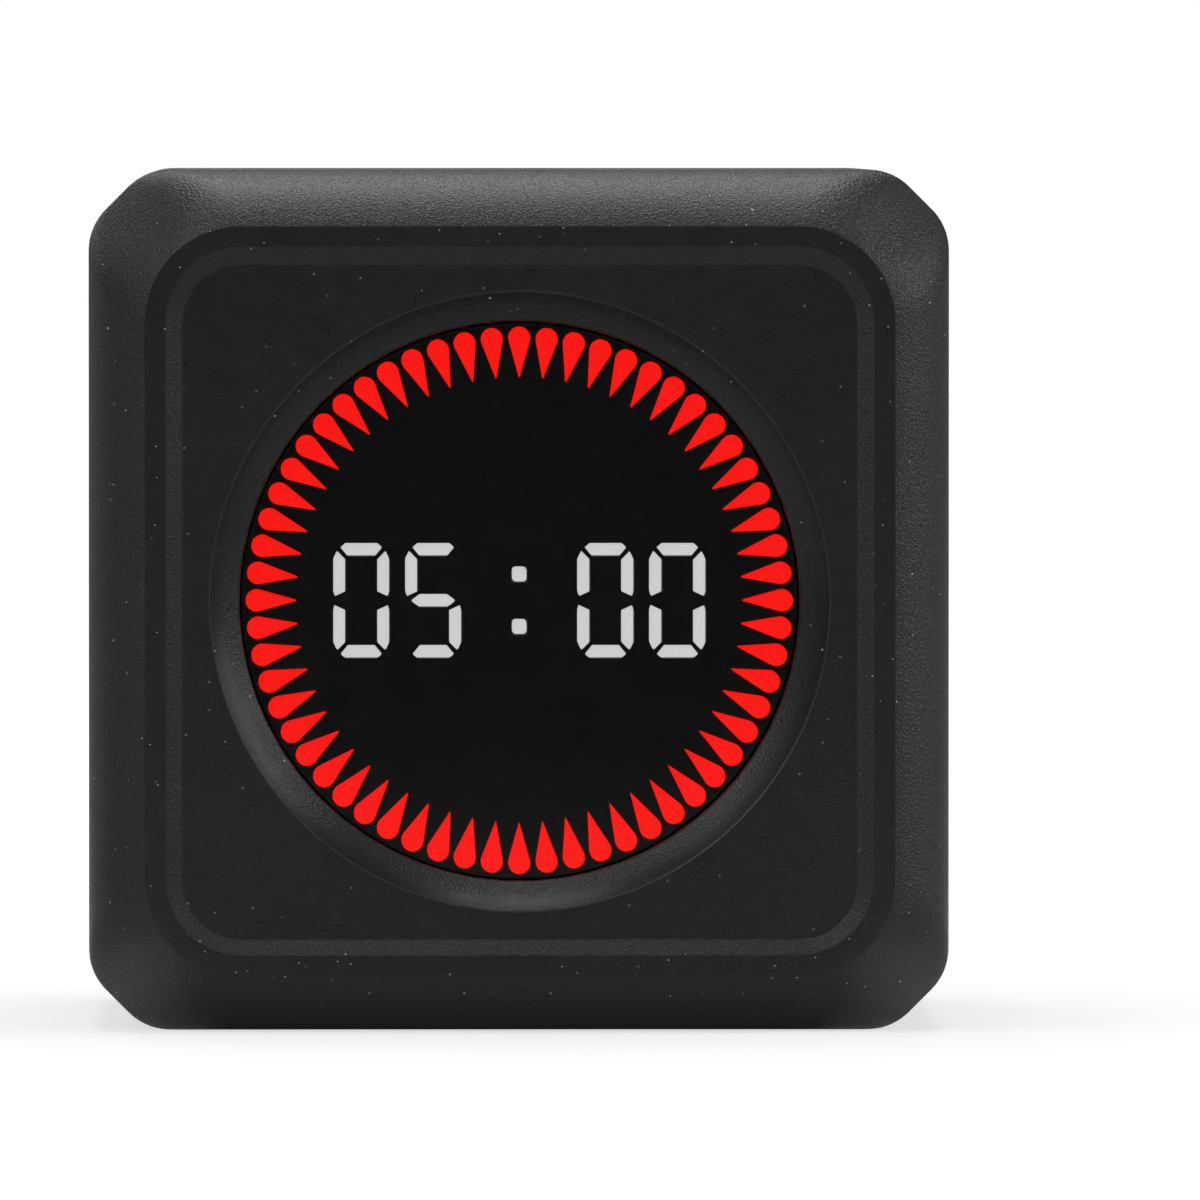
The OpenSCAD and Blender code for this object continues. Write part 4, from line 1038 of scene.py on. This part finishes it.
def atSocket(outline):
    return [(x, y + back["socketY"]) for x, y in outline]


def socketOutline(drawnIn):
    high = socket["high"] - 2 * drawnIn
    return atSocket(roundBox(socket["long"] - 2 * drawnIn, high, high / 2, 0, socket["endSteps"]))


def tongueOutline(drawn):
    long, high = socket["tongueLong"] - drawn, socket["tongueHigh"] - drawn
    return atSocket(roundBox(long, high, socket["tongueCorner"]))


shell = bmesh.new()
skin, roll = socket["skin"], socket["skin"] / 2
turns = [pi * i / socket["mouthSteps"] for i in range(socket["mouthSteps"] + 1)]
mouth = [(roll - roll * cos(a), zSocket + roll - roll * sin(a)) for a in turns]
loft(shell, [[stand(x, y, z) for x, y in socketOutline(inward)] for inward, z in
             [(0, zBoard)] + mouth + [(skin, zBoard)]], closed=True)
settle(meshObject("socket_mouth", shell, "socketMetal"), "case", "socket_metal", "socket_shell")

tongue = bmesh.new()
prism(tongue, socketOutline(skin + socket["baseClear"]), zBase, zBoard)
blade = ((socket["tipDrawn"], zTip), (0, zTip + socket["tipLong"]), (0, zBase + socket["tongueRooted"]))
loft(tongue, [[stand(x, y, z) for x, y in tongueOutline(drawn)] for drawn, z in blade])
settle(meshObject("socket_blade", tongue, "chip"), "case", "dark_resin", "socket_tongue")

contact = bmesh.new()
zContact = zTip + socket["contactFrom"]
for up in (-1, 1):
    top = up * (socket["tongueHigh"] / 2 + socket["contactProud"])
    inside = up * (socket["tongueHigh"] / 2 - socket["contactDeep"])
    low, high = sorted((top, inside))
    shift = (low + high) / 2
    outline = roundBox(socket["contactWide"], high - low, socket["contactRound"])
    outline = [(x, y + shift) for x, y in outline]
    prism(contact, outline, zContact, zContact + socket["contactLong"], lay)
contactPiece = meshObject("socket_contacts", contact, "contact")
repeat(contactPiece, "row", "contact", Count=socket["contacts"], Pitch=socket["contactPitch"] * mm)
contactPiece.data.transform(Matrix.Translation((0, 0, back["socketY"] * mm)))
settle(contactPiece, "case", "steel")
print("charging socket set")

# The pieces inside keep their solids and take their own finish

insideNodes = {
    "block": ("light_block",), "board": ("display_board", "main_board"),
    "lamp": ("drop_leds", "digit_leds"), "steel": ("display_screws", "board_screws"),
    "socketMetal": ("power_switch_case",),
    "chip": ("microcontroller", "tilt_sensor", "charge_chip", "sounder", "mode_switch_base",
             "sound_switch_base"),
    "foamBlack": ("light_seal", "sounder_seal"), "foamWhite": ("cell_pad_foam",), "foil": ("cell",),
    "ivory": ("mode_switch_plunger", "sound_switch_plunger", "power_slider", "cell_plug",
              "display_ribbon_socket", "main_ribbon_socket"),
    "wireRed": ("cell_wire_red",), "wireBlack": ("cell_wire_black",), "film": ("display_ribbon",),
}
for finish, names in insideNodes.items():
    for name in names:
        data = nodes[name].data
        data.materials.clear()
        data.materials.append(finishes[finish])
print("inside pieces finished:", sum(len(names) for names in insideNodes.values()))

# Studio: a pale floor, four soft lamps, and a world that is dim ahead with a bright ring round that

studio = {
    "floorColour": (0.4, 0.4, 0.4), "floorFront": -0.55, "floorBack": 4.0, "floorWide": 3.0,
    "floorNear": 0.05, "floorFar": 0.6, "glowNear": 0.66, "glowFar": 1.0, "glowMirrored": 0.05,
    "sweepWide": 0.07,
    # bands of the floor that the lower bevels mirror: axis, place and half width in metres, glow
    "bands": (("Y", -0.0345, 0.009, 0.3), ("X", 0.033, 0.012, 0.6), ("Y", -0.047, 0.013, 0.4)),
    # levels of the world from the front to the back, and where one runs into the next
    "worldFront": 0.02, "worldRing": 0.78, "worldRound": 0.25, "worldBack": 0.12, "backdropEdge": 0.994,
    "ringFrom": (-0.96, -0.9), "roundFrom": (-0.74, -0.62), "backFrom": (0.0, 1.0),
    # name, clock angle and angle off the front in degrees, distance and sides in metres, radiance
    "lamps": (("top", 0, 104.5, 0.62, (0.36, 0.8), 2.6),
              ("upperLeft", -44, 62, 0.9, (0.5, 0.5), 1.5),
              ("upperRight", 66, 85, 0.9, (0.54, 0.54), 2.4),
              ("kicker", -45, 140, 0.9, (0.5, 0.5), 0.85)),
}


# 1 to the camera, and a given share to what mirrors the background or lets it through
def seenShare(tree, share):
    path = tree.nodes.new("ShaderNodeLightPath").outputs
    mirrored = calc(tree, "MAXIMUM", path["Is Glossy Ray"], path["Is Transmission Ray"])
    return calc(tree, "MAXIMUM", path["Is Camera Ray"], calc(tree, "MULTIPLY", mirrored, share))


# The floor glows white to the camera, and behind the cube and in its bands also to what mirrors it
def makeFloor():
    front, far, wide = studio["floorFront"], studio["floorBack"], studio["floorWide"]
    mesh = bpy.data.meshes.new("floor")
    corners = [(-wide, front, 0), (wide, front, 0), (wide, far, 0), (-wide, far, 0)]
    mesh.from_pydata(corners, [], [(0, 1, 2, 3)])
    material, tree, shader = newMaterial("floor_pale")
    tree.nodes.remove(shader)
    matt = tree.nodes.new("ShaderNodeBsdfDiffuse")
    matt.inputs["Color"].default_value = (*studio["floorColour"], 1)
    away = tree.nodes.new("ShaderNodeVectorMath")
    away.operation = "LENGTH"
    tree.links.new(objectPlace(tree), away.inputs[0])
    level = spread(tree, away.outputs["Value"], studio["floorNear"], studio["floorFar"],
                   studio["glowNear"], studio["glowFar"])
    axes = splitAxes(tree, objectPlace(tree))
    aside, along = calc(tree, "ABSOLUTE", axes["X"]), axes["Y"]
    behind = calc(tree, "GREATER_THAN", along, half * mm)
    share = calc(tree, "MULTIPLY", behind, calc(tree, "LESS_THAN", aside, studio["sweepWide"]))
    share = calc(tree, "MAXIMUM", share, studio["glowMirrored"])
    for axis, at, reach, bright in studio["bands"]:
        off = calc(tree, "ABSOLUTE", calc(tree, "SUBTRACT", aside if axis == "X" else along, at))
        share = calc(tree, "MAXIMUM", share, spread(tree, off, 0, reach, bright, 0))
    glow = tree.nodes.new("ShaderNodeEmission")
    feed(tree, glow, {"Strength": calc(tree, "MULTIPLY", level, seenShare(tree, share))})
    both = tree.nodes.new("ShaderNodeAddShader")
    tree.links.new(matt.outputs["BSDF"], both.inputs[0])
    tree.links.new(glow.outputs["Emission"], both.inputs[1])
    feed(tree, tree.nodes["Material Output"], {"Surface": both.outputs["Shader"]})
    mesh.materials.append(material)
    addObject("floor", mesh)


# White to the camera all round, and straight behind the cube to what mirrors or lets through the background
def makeWorld():
    world = bpy.data.worlds.new("studio")
    bpy.context.scene.world = world
    world.use_nodes = True
    tree = world.node_tree
    ahead = splitAxes(tree, tree.nodes.new("ShaderNodeTexCoord").outputs["Generated"])["Y"]
    level = spread(tree, ahead, *studio["ringFrom"], studio["worldFront"], studio["worldRing"])
    for start, before, after in (("roundFrom", "worldRing", "worldRound"),
                                 ("backFrom", "worldRound", "worldBack")):
        change = spread(tree, ahead, *studio[start], 0, studio[after] - studio[before])
        level = calc(tree, "ADD", level, change)
    backdrop = calc(tree, "GREATER_THAN", ahead, studio["backdropEdge"])
    strength = tree.nodes.new("ShaderNodeMix")
    feed(tree, strength, {"Factor": seenShare(tree, backdrop)})
    tree.links.new(level, strength.inputs[2])        # its sockets for numbers
    strength.inputs[3].default_value = 1.0
    background = tree.nodes["Background"]
    tree.links.new(strength.outputs[0], background.inputs["Strength"])
    background.inputs["Color"].default_value = (1, 1, 1, 1)


def makeLamps():
    middle = Vector((0, 0, half * mm))
    for name, clock, off, distance, size, radiance in studio["lamps"]:
        clock, off = radians(clock), radians(off)
        way = Vector((sin(off) * sin(clock), -cos(off), sin(off) * cos(clock)))
        data = bpy.data.lights.new(name, "AREA")
        data.shape = "RECTANGLE"
        data.size, data.size_y = size
        data.energy = pi * size[0] * size[1] * radiance
        lamp = addObject(name, data)
        lamp.location = middle + way * distance
        lamp.rotation_mode = "QUATERNION"
        lamp.rotation_quaternion = (-way).to_track_quat("-Z", "Y")


# The photograph is square on to the front: a long lens a little above and left of the cube's middle
view = {"imageSize": 1200, "cubePixels": 860.4, "centre": (518.9, 599.6), "distance": 1.5, "sensor": 36.0,
        "right": -17.0, "up": 36.0}


def makeCamera():
    data = bpy.data.cameras.new("camera")
    camera = addObject("camera", data)
    zWidest = half - bevelDepth
    frameWidth = 2 * half * view["imageSize"] / view["cubePixels"]
    data.sensor_width = view["sensor"]
    data.lens = view["sensor"] * view["distance"] / (frameWidth * mm)
    middle = stand(0, 0, zWidest)
    camera.location = stand(view["right"], view["up"], zWidest) - Vector((0, view["distance"], 0))
    camera.rotation_euler = (middle - camera.location).to_track_quat("-Z", "Y").to_euler()
    data.shift_x = 0.5 - view["centre"][0] / view["imageSize"]
    data.shift_y = view["centre"][1] / view["imageSize"] - 0.5
    bpy.context.scene.camera = camera


makeFloor()
makeWorld()
makeLamps()
makeCamera()
bpy.context.scene.view_settings.view_transform = "Standard"
print("studio and camera set")
